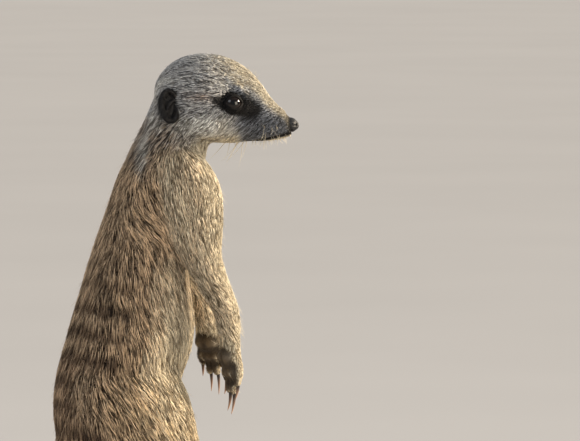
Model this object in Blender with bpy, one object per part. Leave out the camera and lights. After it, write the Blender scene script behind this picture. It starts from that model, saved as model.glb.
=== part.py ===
"""A life-size meerkat standing upright on watch, as a solid model divided into its body parts.

Frame: metres, +Z up, the animal faces +X and its left side is +Y. The body is lofted whole from
egg-shaped cross-sections, fused and smoothed, then divided into named parts by thin cuts.
Sizes below are in millimetres and go out to the tips of the coat.
"""

import math

import bmesh
import bpy
from mathutils import Matrix, Vector

MM = 0.001

GAP = 0.35  # air between parts that touch
SEAT_GAP = 0.6  # air around an eye or an ear, whose seats are thinned after they are cut
FUSE_VOXEL = 1.2  # grain of the fused body
FUSE_SMOOTHING = 5
HEAD_TRIANGLES = 1500
BODY_TRIANGLES = 2600
RING_SIDES = 20
STEPS_BETWEEN_RINGS = 4
BALL_SIDES = 14
CUTTER_SIDES = 12
CUTTER_STEPS = 1
SQUARENESS = 0.6  # 0 is an egg-shaped cutter, 1 a box
LIMB_MARGIN = 1.6  # how far a limb's cut lies outside the limb
LIMB_OUTREACH = 11  # how far a limb's cutter is widened outwards, to meet the body squarely
LIMB_STRETCH = 1.25  # a limb is thicker in a level slice than across its own line
SUNK_INREACH = 0.6  # shares of the limb that are cut free inwards and to the back,
SUNK_BACKREACH = 0.95  # where it is sunk in the body

SIDE = Vector((0, 1, 0))
LEFT, RIGHT = 1, -1
SIDE_NAMES = {LEFT: "left", RIGHT: "right"}

# The trunk, in level slices from the rump up: height, back, front, half-width.
TRUNK_SLICES = [
    (77, -27, 2, 15),
    (84, -32, 13, 26),
    (94, -35.5, 21, 33),
    (108, -37, 27, 37),
    (124, -35.5, 29.5, 38),
    (136, -32.3, 34, 37.3),
    (150, -28.5, 36.5, 36),
    (166, -23.5, 34.8, 34),
    (178, -20, 33, 32.2),
    (192, -15.5, 35, 30),
    (206, -10.5, 39.5, 28),
    (218, -6.5, 42.5, 26),
    (228, -3, 43.5, 23.5),
    (236, 1, 42, 19.5),
    (243, 8, 39, 14),
]

# The neck's centre line: x, height, half-width, half-depth.
NECK_RINGS = [
    (15, 214, 19, 20),
    (20.2, 230, 19.5, 20.2),
    (25.2, 243, 18, 18.7),
    (28.6, 254, 17.5, 17.6),
    (34.3, 266, 17, 17),
]

# The head in upright slices from the back of the skull to the nose: x, top, bottom, half-width.
HEAD_SLICES = [
    (16, 274, 262, 7),
    (18, 278, 256, 13),
    (21.5, 282.5, 250.5, 18),
    (27, 286.8, 246.5, 21.5),
    (35, 289.6, 244.2, 23),
    (43, 290.3, 243.6, 23),
    (50, 289.4, 243.2, 20),
    (56, 287.4, 243.2, 16.8),
    (61.5, 284.5, 243.3, 14.2),
    (66.5, 280.4, 243.6, 12),
    (71.5, 274.6, 244, 10.2),
    (76.5, 267.2, 244.8, 8.9),
    (82, 261.9, 246, 7.4),
    (86, 258.8, 247.4, 6.0),
    (88.6, 256.2, 249.4, 4.4),
    (90, 254, 251, 2),
]
HEAD_PIVOT = Vector((27, 0, 250))
HEAD_YAW = -15  # degrees; the head looks a little to the animal's right

# Rounded masses fused into the head: centre on the left side, radii.
CHEEK = ((40, 13.5, 256), (15, 9, 10))
BROW = ((56.5, 9.5, 272.5), (8, 6, 5))
LID = ((56.5, 10.6, 264.4), (7.6, 6.2, 6.6))
WHISKER_PAD = ((77, 4.2, 251.5), (8.5, 4.6, 5))
CROWN = ((39, 0, 275), (20, 18.5, 15))

EYE_CENTRE = Vector((56.2, 12.3, 264.4))
EYE_RADIUS = 5.7

EAR_CENTRE = Vector((25.5, 20.8, 264))
EAR_RADII = (6.6, 4.4, 9.6)
EAR_DISH_RADII = (5.0, 3.0, 7.8)
EAR_DISH_SHIFT = 3.4
EAR_TURN = 20  # degrees that the ear's open side turns forward
EAR_LEAN = 8  # degrees that the ear's top leans back

# Limbs, from the body outwards: x, sideways, height, half-width, front and back half-depths.
ARM_RINGS = [
    (25, 10.5, 239, 8, 8, 9),
    (28, 15.5, 230, 12.5, 14, 14),
    (30, 19.5, 219, 13.8, 17.3, 17),
    (31.5, 22.3, 207, 13, 16.3, 16),
    (33, 25, 196, 11.5, 14, 13.5),
    (36.5, 26.5, 183, 9.6, 10.0, 8.6),
    (42.3, 26, 171, 8.2, 8.4, 7.9),
    (47.8, 25, 159, 7.4, 7.4, 6.4),
    (49.8, 23.5, 148, 6.8, 6.8, 6.3),
]
LEG_RINGS = [
    (-14, 15, 124, 20, 26, 18),
    (-6, 20, 111, 20.5, 37, 24),
    (7, 23.5, 99, 18.5, 29.5, 24),
    (17, 26, 86, 15, 19.5, 18),
    (20, 27, 74, 12.5, 15, 14),
    (13, 27, 61, 10.5, 13, 11),
    (2, 26.5, 46, 8.4, 9.6, 8.6),
    (-7, 26, 31, 6.8, 7, 7),
    (-12.5, 26, 18, 6.2, 6.4, 6),
]

# Each hand hangs from its wrist. Both are turned so that their palms face back and to the right,
# and the left one's fingers reach forward.
HAND_TURN = {LEFT: 44, RIGHT: 14}  # degrees
HAND_REACH = {LEFT: 12, RIGHT: 0}  # degrees
HAND_RINGS = [
    (0, 0, 6, 6.4, 5.6, 5.4),
    (0.5, 0, -3, 6.8, 5.2, 5.2),
    (1.2, 0, -12, 7.8, 4.8, 5),
    (1.6, 0, -18, 7.8, 4.4, 4.6),
]
WRIST_SHIFT = {LEFT: Vector((-3, 0, 3)), RIGHT: Vector((0, 0, 0))}
FINGER_SPREAD = 4.1  # from the middle of one finger to the next
FINGER_STEP = 0.7  # how far the outer fingers start back from the middle ones
FINGER_TOP = -17
FINGER_LENGTHS = (9.5, 12.5, 12, 8.5)
FINGER_RADIUS = 2.95
FINGER_CLAW_LENGTHS = (8, 12, 11, 8)

# The foot stands flat, heel to toes: x, sideways, height, half-width, top and bottom half-depths.
FOOT_RINGS = [
    (-19, 0, 7, 4.2, 4, 6.5),
    (-14, 0, 9, 6.2, 8, 9.4),
    (-6, 0, 8.5, 6.6, 7.6, 9),
    (6, 0.2, 7.2, 7, 5.8, 7.8),
    (18, 0.8, 6.2, 7.8, 5, 6.8),
    (26, 1.2, 5, 8, 4.4, 5.6),
]
FOOT_TOE_OUT = 7  # degrees
FOOT_SIDEWAYS = 26
TOE_SPREAD = 4.3
TOE_STEP = 1.0
TOE_ROOT = 24
TOE_ASIDE = 1.2  # the row of toes lies off the foot's centre line
TOE_LENGTHS = (11.5, 14, 13.5, 10.5)
TOE_RADIUS = 3.15
TOE_CLAW_LENGTHS = (6.5, 8, 8, 6.5)

# The tail from its tip on the floor to the rump: x, sideways, height, radius.
TAIL_RINGS = [
    (-195, -23, 2.4, 1.6),
    (-186, -20, 3.6, 3.6),
    (-165, -13.5, 4.6, 5.1),
    (-140, -7.5, 5.6, 6.1),
    (-115, -3, 6.8, 7.0),
    (-92, -0.6, 10.2, 7.8),
    (-73, 0, 20, 8.6),
    (-57, 0, 37, 9.8),
    (-43, 0, 57, 11.8),
    (-29, 0, 74, 14.5),
    (-18, 0, 90, 16.5),
]
FLOOR_CUT = 0  # everything below this height is cut away to small flats

# Where the body is parted: a point of each cut, and the way from it into the part named.
CUTS = {
    "head": ((28, 0, 251.5), (0.45, 0, 0.89)),
    "neck": ((18, 0, 230), (0.3, 0, 0.95)),
    "belly": ((8, 0, 190), (0.12, 0, -1)),
    "rump": ((-2, 0, 144), (0.1, 0, -1)),
    "tail_base": ((-38.5, 0, 70), (-0.62, 0, -0.78)),
    "tail_middle": ((-84, 0, 13.5), (-0.9, 0, -0.42)),
    "tail_tip": ((-146, -9, 5), (-1, -0.22, 0)),
}
NOSE_CUT = ((85.4, 0, 254), (1, 0, 0.28))  # in the head's own frame, before it turns
FOREARM_CUT = ((36, 182), (0.28, 0, -1))  # x and height; a limb's cuts lie at its own side
HAND_CUT_BELOW_WRIST = 2.5
HAND_CUT_NORMAL = (0.15, 0, -1)
SHANK_CUT = ((19, 73), (-0.25, 0, -1))
FOOT_CUT_ABOVE_ANKLE = 1
FOOT_CUT_NORMAL = (0.3, 0, -1)

CLAW_SIDES = 6
CLAW_RINGS = 5
CLAW_RADIUS = 1.35
CLAW_ROOT = 2.4  # how far a claw starts behind the tip of its digit
CLAW_CURL = 38  # degrees from root to point

FUR_GREY = (0.36, 0.30, 0.22)
FUR_PALE = (0.62, 0.54, 0.42)
FUR_TAN = (0.50, 0.38, 0.25)
HIDE_BLACK = (0.02, 0.018, 0.017)
HORN = (0.16, 0.10, 0.06)
EYE_BROWN = (0.03, 0.015, 0.008)


def material(name, colour, roughness):
    """A Principled material with this colour and roughness."""
    made = bpy.data.materials.new(name)
    made.use_nodes = True
    shader = made.node_tree.nodes["Principled BSDF"]
    shader.inputs["Base Color"].default_value = (*colour, 1)
    shader.inputs["Roughness"].default_value = roughness
    shader.inputs["Metallic"].default_value = 0
    return made


def eased_rows(rows, steps=STEPS_BETWEEN_RINGS):
    """The rows of numbers with a smooth curve of new rows between each pair."""
    made = []
    last = len(rows) - 1
    for i in range(last):
        before, a, b, after = (Vector(rows[k]) for k in (max(i - 1, 0), i, i + 1, min(i + 2, last)))
        for step in range(steps):
            t = step / steps
            made.append(
                0.5
                * (2 * a + (b - before) * t + (2 * before - 5 * a + 4 * b - after) * t**2)
                + 0.5 * (3 * a - before - 3 * b + after) * t**3
            )
    made.append(Vector(rows[last]))
    return made


def egg_ring(centre, along, width, upper, lower, sides=RING_SIDES):
    """The points of an egg-shaped section: half-width, then half-depths to its upper and lower side."""
    side = (SIDE - along * SIDE.dot(along)).normalized()
    up = along.cross(side)
    points = []
    for k in range(sides):
        angle = 2 * math.pi * k / sides
        depth = upper if math.sin(angle) > 0 else lower
        points.append(centre + side * width * math.cos(angle) + up * depth * math.sin(angle))
    return points


def skin_rings(bm, rings, place=None):
    """Joins rings of points into one closed tube in bm, optionally moved by a matrix."""
    loops = []
    for ring in rings:
        moved = [(place @ p if place else p) * MM for p in ring]
        loops.append([bm.verts.new(p) for p in moved])
    for a, b in zip(loops, loops[1:]):
        for k in range(len(a)):
            n = (k + 1) % len(a)
            bm.faces.new((a[k], a[n], b[n], b[k]))
    bm.faces.new(loops[0][::-1])
    bm.faces.new(loops[-1])


def loft(bm, rows, place=None, sides=RING_SIDES, steps=STEPS_BETWEEN_RINGS):
    """A tube through rows of (centre x, y, z, half-width, upper and lower half-depth)."""
    rows = eased_rows([tuple(r) for r in rows], steps)
    rings = []
    for i, row in enumerate(rows):
        ahead, behind = rows[min(i + 1, len(rows) - 1)], rows[max(i - 1, 0)]
        along = Vector(ahead[:3]) - Vector(behind[:3])
        rings.append(egg_ring(Vector(row[:3]), along.normalized(), row[3], row[4], row[5], sides))
    skin_rings(bm, rings, place)


def sliced(bm, slices, along, place=None):
    """A tube of parallel slices. Each is (place along the axis, upper edge, lower edge, half-width)."""
    rings = []
    for at, upper, lower, width in eased_rows(slices):
        middle, half = (upper + lower) / 2, abs(upper - lower) / 2
        centre = Vector((at, 0, middle)) if along.x else Vector((middle, 0, at))
        rings.append(egg_ring(centre, along, width, half, half))
    skin_rings(bm, rings, place)


def ball(bm, centre, radii, place=None, sides=BALL_SIDES):
    """An ellipsoid, with its poles up and down."""
    shape = Matrix.Translation(Vector(centre)) @ Matrix.Diagonal((*radii, 1))
    whole = Matrix.Scale(MM, 4) @ (place or Matrix()) @ shape
    bmesh.ops.create_uvsphere(bm, u_segments=sides, v_segments=sides * 5 // 8, radius=1, matrix=whole)


def mirrored(point, side):
    return Vector((point[0], point[1] * side, point[2]))


def head_place():
    """Turns the head about the neck."""
    turn = Matrix.Rotation(math.radians(HEAD_YAW), 4, "Z")
    return Matrix.Translation(HEAD_PIVOT) @ turn @ Matrix.Translation(-HEAD_PIVOT)


def hand_place(side):
    """Where a hand hangs: at the wrist, turned about it."""
    wrist = mirrored(ARM_RINGS[-1][:3], side) + WRIST_SHIFT[side]
    turn = Matrix.Rotation(math.radians(HAND_TURN[side]), 4, "Z")
    reach = Matrix.Rotation(math.radians(-HAND_REACH[side]), 4, "Y")
    return Matrix.Translation(wrist) @ turn @ reach


def foot_place(side):
    turn = Matrix.Rotation(math.radians(FOOT_TOE_OUT * side), 4, "Z")
    return Matrix.Translation((0, FOOT_SIDEWAYS * side, 0)) @ turn


def arm_rings(side):
    """The arm's rings, shifted little by little down to the wrist."""
    rings = []
    for i, (x, y, z, *radii) in enumerate(ARM_RINGS):
        shift = WRIST_SHIFT[side] * i / (len(ARM_RINGS) - 1)
        rings.append((*(mirrored((x, y, z), side) + shift), *radii))
    return rings


def leg_rings(side):
    return [(x, y * side, z, *radii) for x, y, z, *radii in LEG_RINGS]


def digit_root(digit, spread, reach):
    """Sideways place of a digit's root, and how far it steps back at the edges of the row."""
    across = digit - 1.5
    return across * spread, -reach * across**2


def finger_rings(digit):
    """A finger in the hand's own frame, hanging down and bending a little towards the palm."""
    across, step = digit_root(digit, FINGER_SPREAD, FINGER_STEP)
    length, r = FINGER_LENGTHS[digit], FINGER_RADIUS
    top = FINGER_TOP - step
    return [
        (1.6, across * 0.9, top + 5, r * 0.9, r * 0.9, r * 0.9),
        (2.4, across, top, r, r, r),
        (2.6, across * 1.05, top - length * 0.5, r, r, r * 1.05),
        (1.6, across * 1.08, top - length * 0.9, r * 0.95, r, r),
        (1.0, across * 1.08, top - length * 1.05, r * 0.55, r * 0.6, r * 0.6),
    ]


def toe_rings(digit):
    """A toe in the foot's own frame, lying forward on the floor."""
    across, step = digit_root(digit, TOE_SPREAD, TOE_STEP)
    length, r = TOE_LENGTHS[digit], TOE_RADIUS
    root = TOE_ROOT + step
    return [
        (root - 5, across * 0.85 + TOE_ASIDE, 4.2, r, r, r * 1.2),
        (root, across + TOE_ASIDE, 4.0, r, r, r * 1.25),
        (root + length * 0.5, across * 1.08 + TOE_ASIDE, 4.2, r, r * 1.1, r * 1.35),
        (root + length * 0.9, across * 1.12 + TOE_ASIDE, 3.2, r * 0.95, r, r * 1.1),
        (root + length * 1.05, across * 1.12 + TOE_ASIDE, 3.0, r * 0.5, r * 0.6, r * 0.7),
    ]


def claw_rings(root, heading, bend_towards, length, radius=CLAW_RADIUS):
    """A claw from its root, curving from heading towards bend_towards and narrowing to a point."""
    heading, bend_towards = heading.normalized(), bend_towards.normalized()
    rings, at = [], root.copy()
    step = length / (CLAW_RINGS - 1)
    for i in range(CLAW_RINGS):
        share = i / (CLAW_RINGS - 1)
        angle = math.radians(CLAW_CURL) * share
        along = heading * math.cos(angle) + bend_towards * math.sin(angle)
        r = radius * (1 - 0.82 * share**1.3)
        rings.append(egg_ring(at, along, r * 0.8, r * 1.15, r * 1.15, CLAW_SIDES))
        at = at + along * step
    return rings


def fingers_claw(digit):
    """A finger claw in the hand's frame: down from the fingertip, curling towards the palm."""
    tip = finger_rings(digit)[-1]
    root = Vector((tip[0] + 0.9, tip[1], tip[2] + CLAW_ROOT))
    length = FINGER_CLAW_LENGTHS[digit] + CLAW_ROOT
    return claw_rings(root, Vector((0.12, 0, -1)), Vector((-1, 0, -0.2)), length)


def toes_claw(digit):
    """A toe claw in the foot's frame: forward from the toe's tip, curling down to the floor."""
    tip = toe_rings(digit)[-1]
    root = Vector((tip[0] - CLAW_ROOT, tip[1], tip[2] + 1.3))
    length = TOE_CLAW_LENGTHS[digit] + CLAW_ROOT
    return claw_rings(root, Vector((1, 0, 0.18)), Vector((0.3, 0, -1)), length, CLAW_RADIUS * 0.85)


def link(name, mesh, look):
    made = bpy.data.objects.new(name, mesh)
    bpy.context.scene.collection.objects.link(made)
    made.data.materials.clear()
    made.data.materials.append(look)
    made.data.shade_smooth()
    return made


def object_from(bm, name, look):
    """A named object from bm, with its faces turned outwards."""
    bmesh.ops.recalc_face_normals(bm, faces=bm.faces)
    mesh = bpy.data.meshes.new(name)
    bm.to_mesh(mesh)
    bm.free()
    return link(name, mesh, look)


def apply_modifiers(made):
    """Replaces the object's mesh by the evaluated one."""
    graph = bpy.context.evaluated_depsgraph_get()
    mesh = bpy.data.meshes.new_from_object(made.evaluated_get(graph))
    made.modifiers.clear()
    made.data = mesh
    return made


def carve(made, cutter, operation):
    """Cuts made with cutter, by DIFFERENCE or INTERSECT."""
    cut = made.modifiers.new("Carve", "BOOLEAN")
    cut.operation, cut.object, cut.solver = operation, cutter, "EXACT"
    apply_modifiers(made)


def discard(*objects):
    for unwanted in objects:
        bpy.data.objects.remove(unwanted)


def copy_of(made, name):
    return link(name, made.data.copy(), made.data.materials[0])


def keep_largest(made):
    """Drops the crumbs that a cut can leave beside the main piece."""
    bm = bmesh.new()
    bm.from_mesh(made.data)
    left, islands = set(bm.verts), []
    while left:
        reached, edge = set(), [left.pop()]
        while edge:
            vert = edge.pop()
            reached.add(vert)
            fresh = [e.other_vert(vert) for e in vert.link_edges if e.other_vert(vert) in left]
            left.difference_update(fresh)
            edge.extend(fresh)
        islands.append(reached)
    islands.sort(key=len, reverse=True)
    crumbs = [v for island in islands[1:] for v in island]
    bmesh.ops.delete(bm, geom=crumbs, context="VERTS")
    bm.to_mesh(made.data)
    bm.free()


def keep_one_side(made, point, normal):
    """Cuts the object at a plane, and closes and keeps what lies on the normal's side."""
    bm = bmesh.new()
    bm.from_mesh(made.data)
    everything = bm.verts[:] + bm.edges[:] + bm.faces[:]
    cut = bmesh.ops.bisect_plane(
        bm, geom=everything, dist=1e-6, plane_co=point * MM, plane_no=normal, clear_inner=True
    )
    rim = [e for e in cut["geom_cut"] if isinstance(e, bmesh.types.BMEdge)]
    closed = bmesh.ops.holes_fill(bm, edges=rim, sides=0)
    bmesh.ops.triangulate(bm, faces=closed["faces"])
    bmesh.ops.recalc_face_normals(bm, faces=bm.faces)
    bm.to_mesh(made.data)
    bm.free()


def split(made, name, point, normal):
    """Parts the object at a plane with a thin gap. The normal's side becomes the new object."""
    point, normal = Vector(point), Vector(normal).normalized()
    beyond = copy_of(made, name)
    keep_one_side(beyond, point + normal * GAP / 2, normal)
    keep_one_side(made, point - normal * GAP / 2, -normal)
    keep_largest(beyond)
    keep_largest(made)
    return beyond


def thin_out(made, triangles):
    """Thins the mesh to about this many triangles, where that changes its shape least."""
    made.data.calc_loop_triangles()
    thin = made.modifiers.new("Thin", "DECIMATE")
    thin.ratio = triangles / len(made.data.loop_triangles)
    apply_modifiers(made)


def squared_ring(x, y, z, width, front, back):
    """A level ring like egg_ring's, with its sides pushed out towards a rectangle's."""
    centre, points = Vector((x, y, z)), []
    for point in egg_ring(centre, Vector((0, 0, -1)), width, front, back, CUTTER_SIDES):
        across = abs(point.y - y) / width
        along = abs(point.x - x) / (front if point.x > x else back)
        points.append(centre + (point - centre) / max(across, along) ** SQUARENESS)
    return points


def limb_cutter(rings, sunk, side, margin, look):
    """Level slices around a limb's rings, the first of which are sunk in the body, widened away from it."""
    widened = []
    for i, (x, y, z, width, front, back) in enumerate(rings):
        inner = width * (SUNK_INREACH if i < sunk else 1) + margin
        outer = width + 2 * LIMB_OUTREACH + margin
        ahead = front * LIMB_STRETCH + LIMB_OUTREACH + margin
        behind = back * (SUNK_BACKREACH if i < sunk else LIMB_STRETCH) + margin
        top = z + margin if i == 0 else z
        widened.append((x, y + side * (outer - inner) / 2, top, (inner + outer) / 2, ahead, behind))
    bm = bmesh.new()
    skin_rings(bm, [squared_ring(*row) for row in eased_rows(widened, CUTTER_STEPS)])
    bmesh.ops.triangulate(bm, faces=bm.faces, quad_method="FIXED")
    return object_from(bm, "cutter", look)


def take_limb(body, name, rings, sunk, side):
    """Lifts the limb that lies within the rings off the body, leaving a gap."""
    look = body.data.materials[0]
    limb = copy_of(body, name)
    inner = limb_cutter(rings, sunk, side, LIMB_MARGIN, look)
    outer = limb_cutter(rings, sunk, side, LIMB_MARGIN + GAP, look)
    carve(limb, inner, "INTERSECT")
    carve(body, outer, "DIFFERENCE")
    keep_largest(limb)
    keep_largest(body)
    discard(inner, outer)
    return limb


def whole_body(look):
    """Every mass of flesh and fur, fused into one smooth closed body that stands on flats."""
    bm = bmesh.new()
    head = head_place()
    sliced(bm, TRUNK_SLICES, Vector((0, 0, 1)))
    loft(bm, [(x, 0, z, width, depth, depth) for x, z, width, depth in NECK_RINGS])
    sliced(bm, HEAD_SLICES, Vector((1, 0, 0)), head)
    ball(bm, *CROWN, head)
    loft(bm, [(x, y, z, r, r, r) for x, y, z, r in TAIL_RINGS])
    for side in SIDE_NAMES:
        for centre, radii in (CHEEK, BROW, LID, WHISKER_PAD):
            ball(bm, mirrored(centre, side), radii, head)
        loft(bm, arm_rings(side))
        loft(bm, leg_rings(side))
        loft(bm, HAND_RINGS, hand_place(side))
        loft(bm, FOOT_RINGS, foot_place(side))
        for digit in range(4):
            loft(bm, finger_rings(digit), hand_place(side), sides=12)
            loft(bm, toe_rings(digit), foot_place(side), sides=12)
    body = object_from(bm, "chest", look)
    fuse = body.modifiers.new("Fuse", "REMESH")
    fuse.mode, fuse.voxel_size = "VOXEL", FUSE_VOXEL * MM
    smooth = body.modifiers.new("Smooth", "SMOOTH")
    smooth.iterations = FUSE_SMOOTHING
    apply_modifiers(body)
    apply_modifiers(body)
    keep_largest(body)
    return body


def ellipsoid(name, centre, radii, place, look):
    bm = bmesh.new()
    ball(bm, centre, radii, place)
    return object_from(bm, name, look)


def add_eye(head, side, look):
    """An eyeball in a socket sunk into the head."""
    centre, r = mirrored(EYE_CENTRE, side), EYE_RADIUS
    ellipsoid(f"eye_{SIDE_NAMES[side]}", centre, (r, r, r), head_place(), look)
    socket = ellipsoid("socket", centre, (r + SEAT_GAP,) * 3, head_place(), look)
    carve(head, socket, "DIFFERENCE")
    discard(socket)


def add_ear(head, side, look):
    """A dished ear set into the side of the head, its open side outwards."""
    turn = Matrix.Rotation(math.radians(EAR_TURN * side), 4, "Z")
    lean = Matrix.Rotation(math.radians(-EAR_LEAN), 4, "Y")
    place = head_place() @ Matrix.Translation(mirrored(EAR_CENTRE, side)) @ turn @ lean
    ear = ellipsoid(f"ear_{SIDE_NAMES[side]}", (0, 0, 0), EAR_RADII, place, look)
    dish = ellipsoid("dish", (0, EAR_DISH_SHIFT * side, 0), EAR_DISH_RADII, place, look)
    seat = ellipsoid("seat", (0, 0, 0), [r + SEAT_GAP for r in EAR_RADII], place, look)
    carve(ear, dish, "DIFFERENCE")
    carve(head, seat, "DIFFERENCE")
    discard(dish, seat)


def part_head(body, eye_look, hide_look):
    """Parts the head from the body and the nose from the head, and sets in the eyes and ears."""
    head = split(body, "head", *CUTS["head"])
    for side in SIDE_NAMES:
        add_eye(head, side, eye_look)
        add_ear(head, side, hide_look)
    thin_out(head, HEAD_TRIANGLES)
    point, ahead = (Vector(v) for v in NOSE_CUT)
    return split(head, "nose", head_place() @ point, head_place().to_3x3() @ ahead)


def divide_core(chest):
    """Parts the neck, belly, rump and tail from the chest, and gives each its name."""
    neck = split(chest, "neck", *CUTS["neck"])
    parts = [chest, neck, split(chest, "belly", *CUTS["belly"])]
    for name in ("rump", "tail_base", "tail_middle", "tail_tip"):
        parts.append(split(parts[-1], name, *CUTS[name]))
    return parts


def divide_arm(body, side):
    word = SIDE_NAMES[side]
    rings = arm_rings(side)
    x, y, z, *radii = rings[0]
    shoulder_top = (x - 1, y, z + 3, *(r * 0.7 for r in radii))
    x, y, z, *radii = rings[-1]
    past_claws = (x + 3, y, z - 42, 14, 14, 14)
    arm = take_limb(body, f"upper_arm_{word}", [shoulder_top, *rings, past_claws], 6, side)
    (elbow_x, elbow_z), normal = FOREARM_CUT
    forearm = split(arm, f"forearm_{word}", (elbow_x, y, elbow_z), normal)
    hand = split(forearm, f"hand_{word}", (x, y, z - HAND_CUT_BELOW_WRIST), HAND_CUT_NORMAL)
    return [arm, forearm, hand]


def divide_leg(body, side):
    word = SIDE_NAMES[side]
    rings = leg_rings(side)
    x, y, z, *radii = rings[0]
    hip_top = (x, y, z + 8, *(r * 0.7 for r in radii))
    x, y, z, *radii = rings[-1]
    around_foot = [(x + 12, y, z - 13, 14, 42, 22), (x + 14, y, z - 26, 14, 44, 24)]
    thigh = take_limb(body, f"thigh_{word}", [hip_top, *rings, *around_foot], 4, side)
    (knee_x, knee_z), normal = SHANK_CUT
    shank = split(thigh, f"shank_{word}", (knee_x, y, knee_z), normal)
    foot = split(shank, f"foot_{word}", (x, y, z + FOOT_CUT_ABOVE_ANKLE), FOOT_CUT_NORMAL)
    return [thigh, shank, foot]


def grown(made, by):
    """A copy of the object pushed outwards along its normals, to cut a gap with."""
    bigger = copy_of(made, "grown")
    for vert in bigger.data.vertices:
        vert.co += vert.normal * by * MM
    return bigger


def add_claws(limb, place, rings_of, kind, word, look):
    """The four claws of one hand or foot, each trimmed to start at the flesh."""
    flesh = grown(limb, GAP)
    for digit in range(4):
        bm = bmesh.new()
        skin_rings(bm, rings_of(digit), place)
        claw = object_from(bm, f"{kind}_claw_{word}_{digit + 1}", look)
        carve(claw, flesh, "DIFFERENCE")
        keep_largest(claw)
    discard(flesh)


def stand_centred():
    """Moves everything so that the middle of the whole, on the floor, is the origin."""
    corners = [v.co for made in bpy.data.objects for v in made.data.vertices]
    middle_x = (min(c.x for c in corners) + max(c.x for c in corners)) / 2
    middle_y = (min(c.y for c in corners) + max(c.y for c in corners)) / 2
    for made in bpy.data.objects:
        made.data.transform(Matrix.Translation((-middle_x, -middle_y, 0)))


def main():
    for existing in list(bpy.data.objects):
        bpy.data.objects.remove(existing)
    grey_fur = material("grey_fur", FUR_GREY, 0.9)
    pale_fur = material("pale_fur", FUR_PALE, 0.9)
    tan_fur = material("tan_fur", FUR_TAN, 0.9)
    black_hide = material("black_hide", HIDE_BLACK, 0.5)
    horn = material("horn", HORN, 0.35)
    eye_brown = material("eye_brown", EYE_BROWN, 0.05)

    chest = whole_body(grey_fur)
    nose = part_head(chest, eye_brown, black_hide)
    thin_out(chest, BODY_TRIANGLES)
    keep_one_side(chest, Vector((0, 0, FLOOR_CUT)), Vector((0, 0, 1)))
    limbs = {}
    for side in SIDE_NAMES:
        limbs[side] = divide_arm(chest, side) + divide_leg(chest, side)
    core = divide_core(chest)
    for side, (upper_arm, forearm, hand, thigh, shank, foot) in limbs.items():
        word = SIDE_NAMES[side]
        add_claws(hand, hand_place(side), fingers_claw, "hand", word, horn)
        add_claws(foot, foot_place(side), toes_claw, "foot", word, horn)
        for part in (forearm, hand, foot):
            part.data.materials[0] = pale_fur
    nose.data.materials[0] = black_hide
    core[-1].data.materials[0] = black_hide
    core[-2].data.materials[0] = tan_fur
    stand_centred()


main()
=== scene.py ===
"""A life-size meerkat standing upright, as a still museum model.

One skin replaces the flesh of the frame, and a coat of small solid tufts lies over it. Eyes, lids,
ears, nose, claws and bristles are pieces of their own. Points are held in millimetres, in the
frame's axes, and turn into metres when a mesh is made.
"""

import math

import bmesh
import bpy
import numpy as np
from mathutils import Matrix, Vector
from mathutils.bvhtree import BVHTree
from mathutils.kdtree import KDTree


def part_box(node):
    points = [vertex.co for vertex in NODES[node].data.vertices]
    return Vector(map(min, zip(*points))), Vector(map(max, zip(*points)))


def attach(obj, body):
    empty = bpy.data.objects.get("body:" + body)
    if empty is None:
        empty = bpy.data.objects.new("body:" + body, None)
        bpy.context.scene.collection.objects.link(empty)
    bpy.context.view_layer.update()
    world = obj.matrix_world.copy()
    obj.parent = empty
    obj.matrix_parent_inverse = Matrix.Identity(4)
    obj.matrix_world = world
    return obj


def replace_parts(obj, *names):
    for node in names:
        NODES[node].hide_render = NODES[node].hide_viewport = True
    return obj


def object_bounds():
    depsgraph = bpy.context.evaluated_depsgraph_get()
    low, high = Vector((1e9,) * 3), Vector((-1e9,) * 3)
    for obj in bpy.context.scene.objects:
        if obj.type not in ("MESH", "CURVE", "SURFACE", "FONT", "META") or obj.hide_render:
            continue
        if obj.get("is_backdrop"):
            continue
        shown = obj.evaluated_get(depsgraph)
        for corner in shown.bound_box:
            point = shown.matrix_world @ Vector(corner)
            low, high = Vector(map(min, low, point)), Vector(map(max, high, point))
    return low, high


MM = 0.001
SEED = 11
SIDES = {"left": 1, "right": -1}

# ---------------------------- sizes, in millimetres

SKIN_VOXEL = 0.8
SKIN_PUFF = 0.35  # closes the air between the frame's parts
SKIN_SMOOTHING = 4
EYE_RADIUS = 5.7
HEAD_TRIM = 0.4  # how much lower the head's skin lies than its coat is deep

# For each kind of part: depth of the coat over the skin, length and width of a tuft, and how many
# tufts cover each point.
COAT = {
    "head": (0.9, 3.6, 0.30, 5.5),
    "neck": (1.9, 7.0, 0.33, 6.0),
    "chest": (2.1, 8.4, 0.34, 6.2),
    "belly": (2.1, 8.6, 0.34, 6.2),
    "rump": (2.1, 8.4, 0.34, 6.0),
    "upper_arm": (1.6, 6.4, 0.33, 5.6),
    "forearm": (0.9, 4.2, 0.30, 5.0),
    "hand": (0.45, 2.2, 0.27, 3.6),
    "thigh": (2.0, 7.6, 0.4, 5.0),
    "shank": (1.0, 4.6, 0.36, 4.6),
    "foot": (0.5, 2.4, 0.3, 3.6),
    "tail_base": (1.7, 6.8, 0.42, 4.8),
    "tail_middle": (1.1, 5.2, 0.42, 4.6),
    "tail_tip": (0.9, 4.8, 0.4, 4.6),
}

# Runs of parts along which the coat lies. The claws end a limb's run.
RUNS = (
    ("head", "neck", "chest", "belly", "rump", "tail_base", "tail_middle", "tail_tip"),
    ("upper_arm", "forearm", "hand", "hand_claw"),
    ("thigh", "shank", "foot", "foot_claw"),
)

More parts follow.
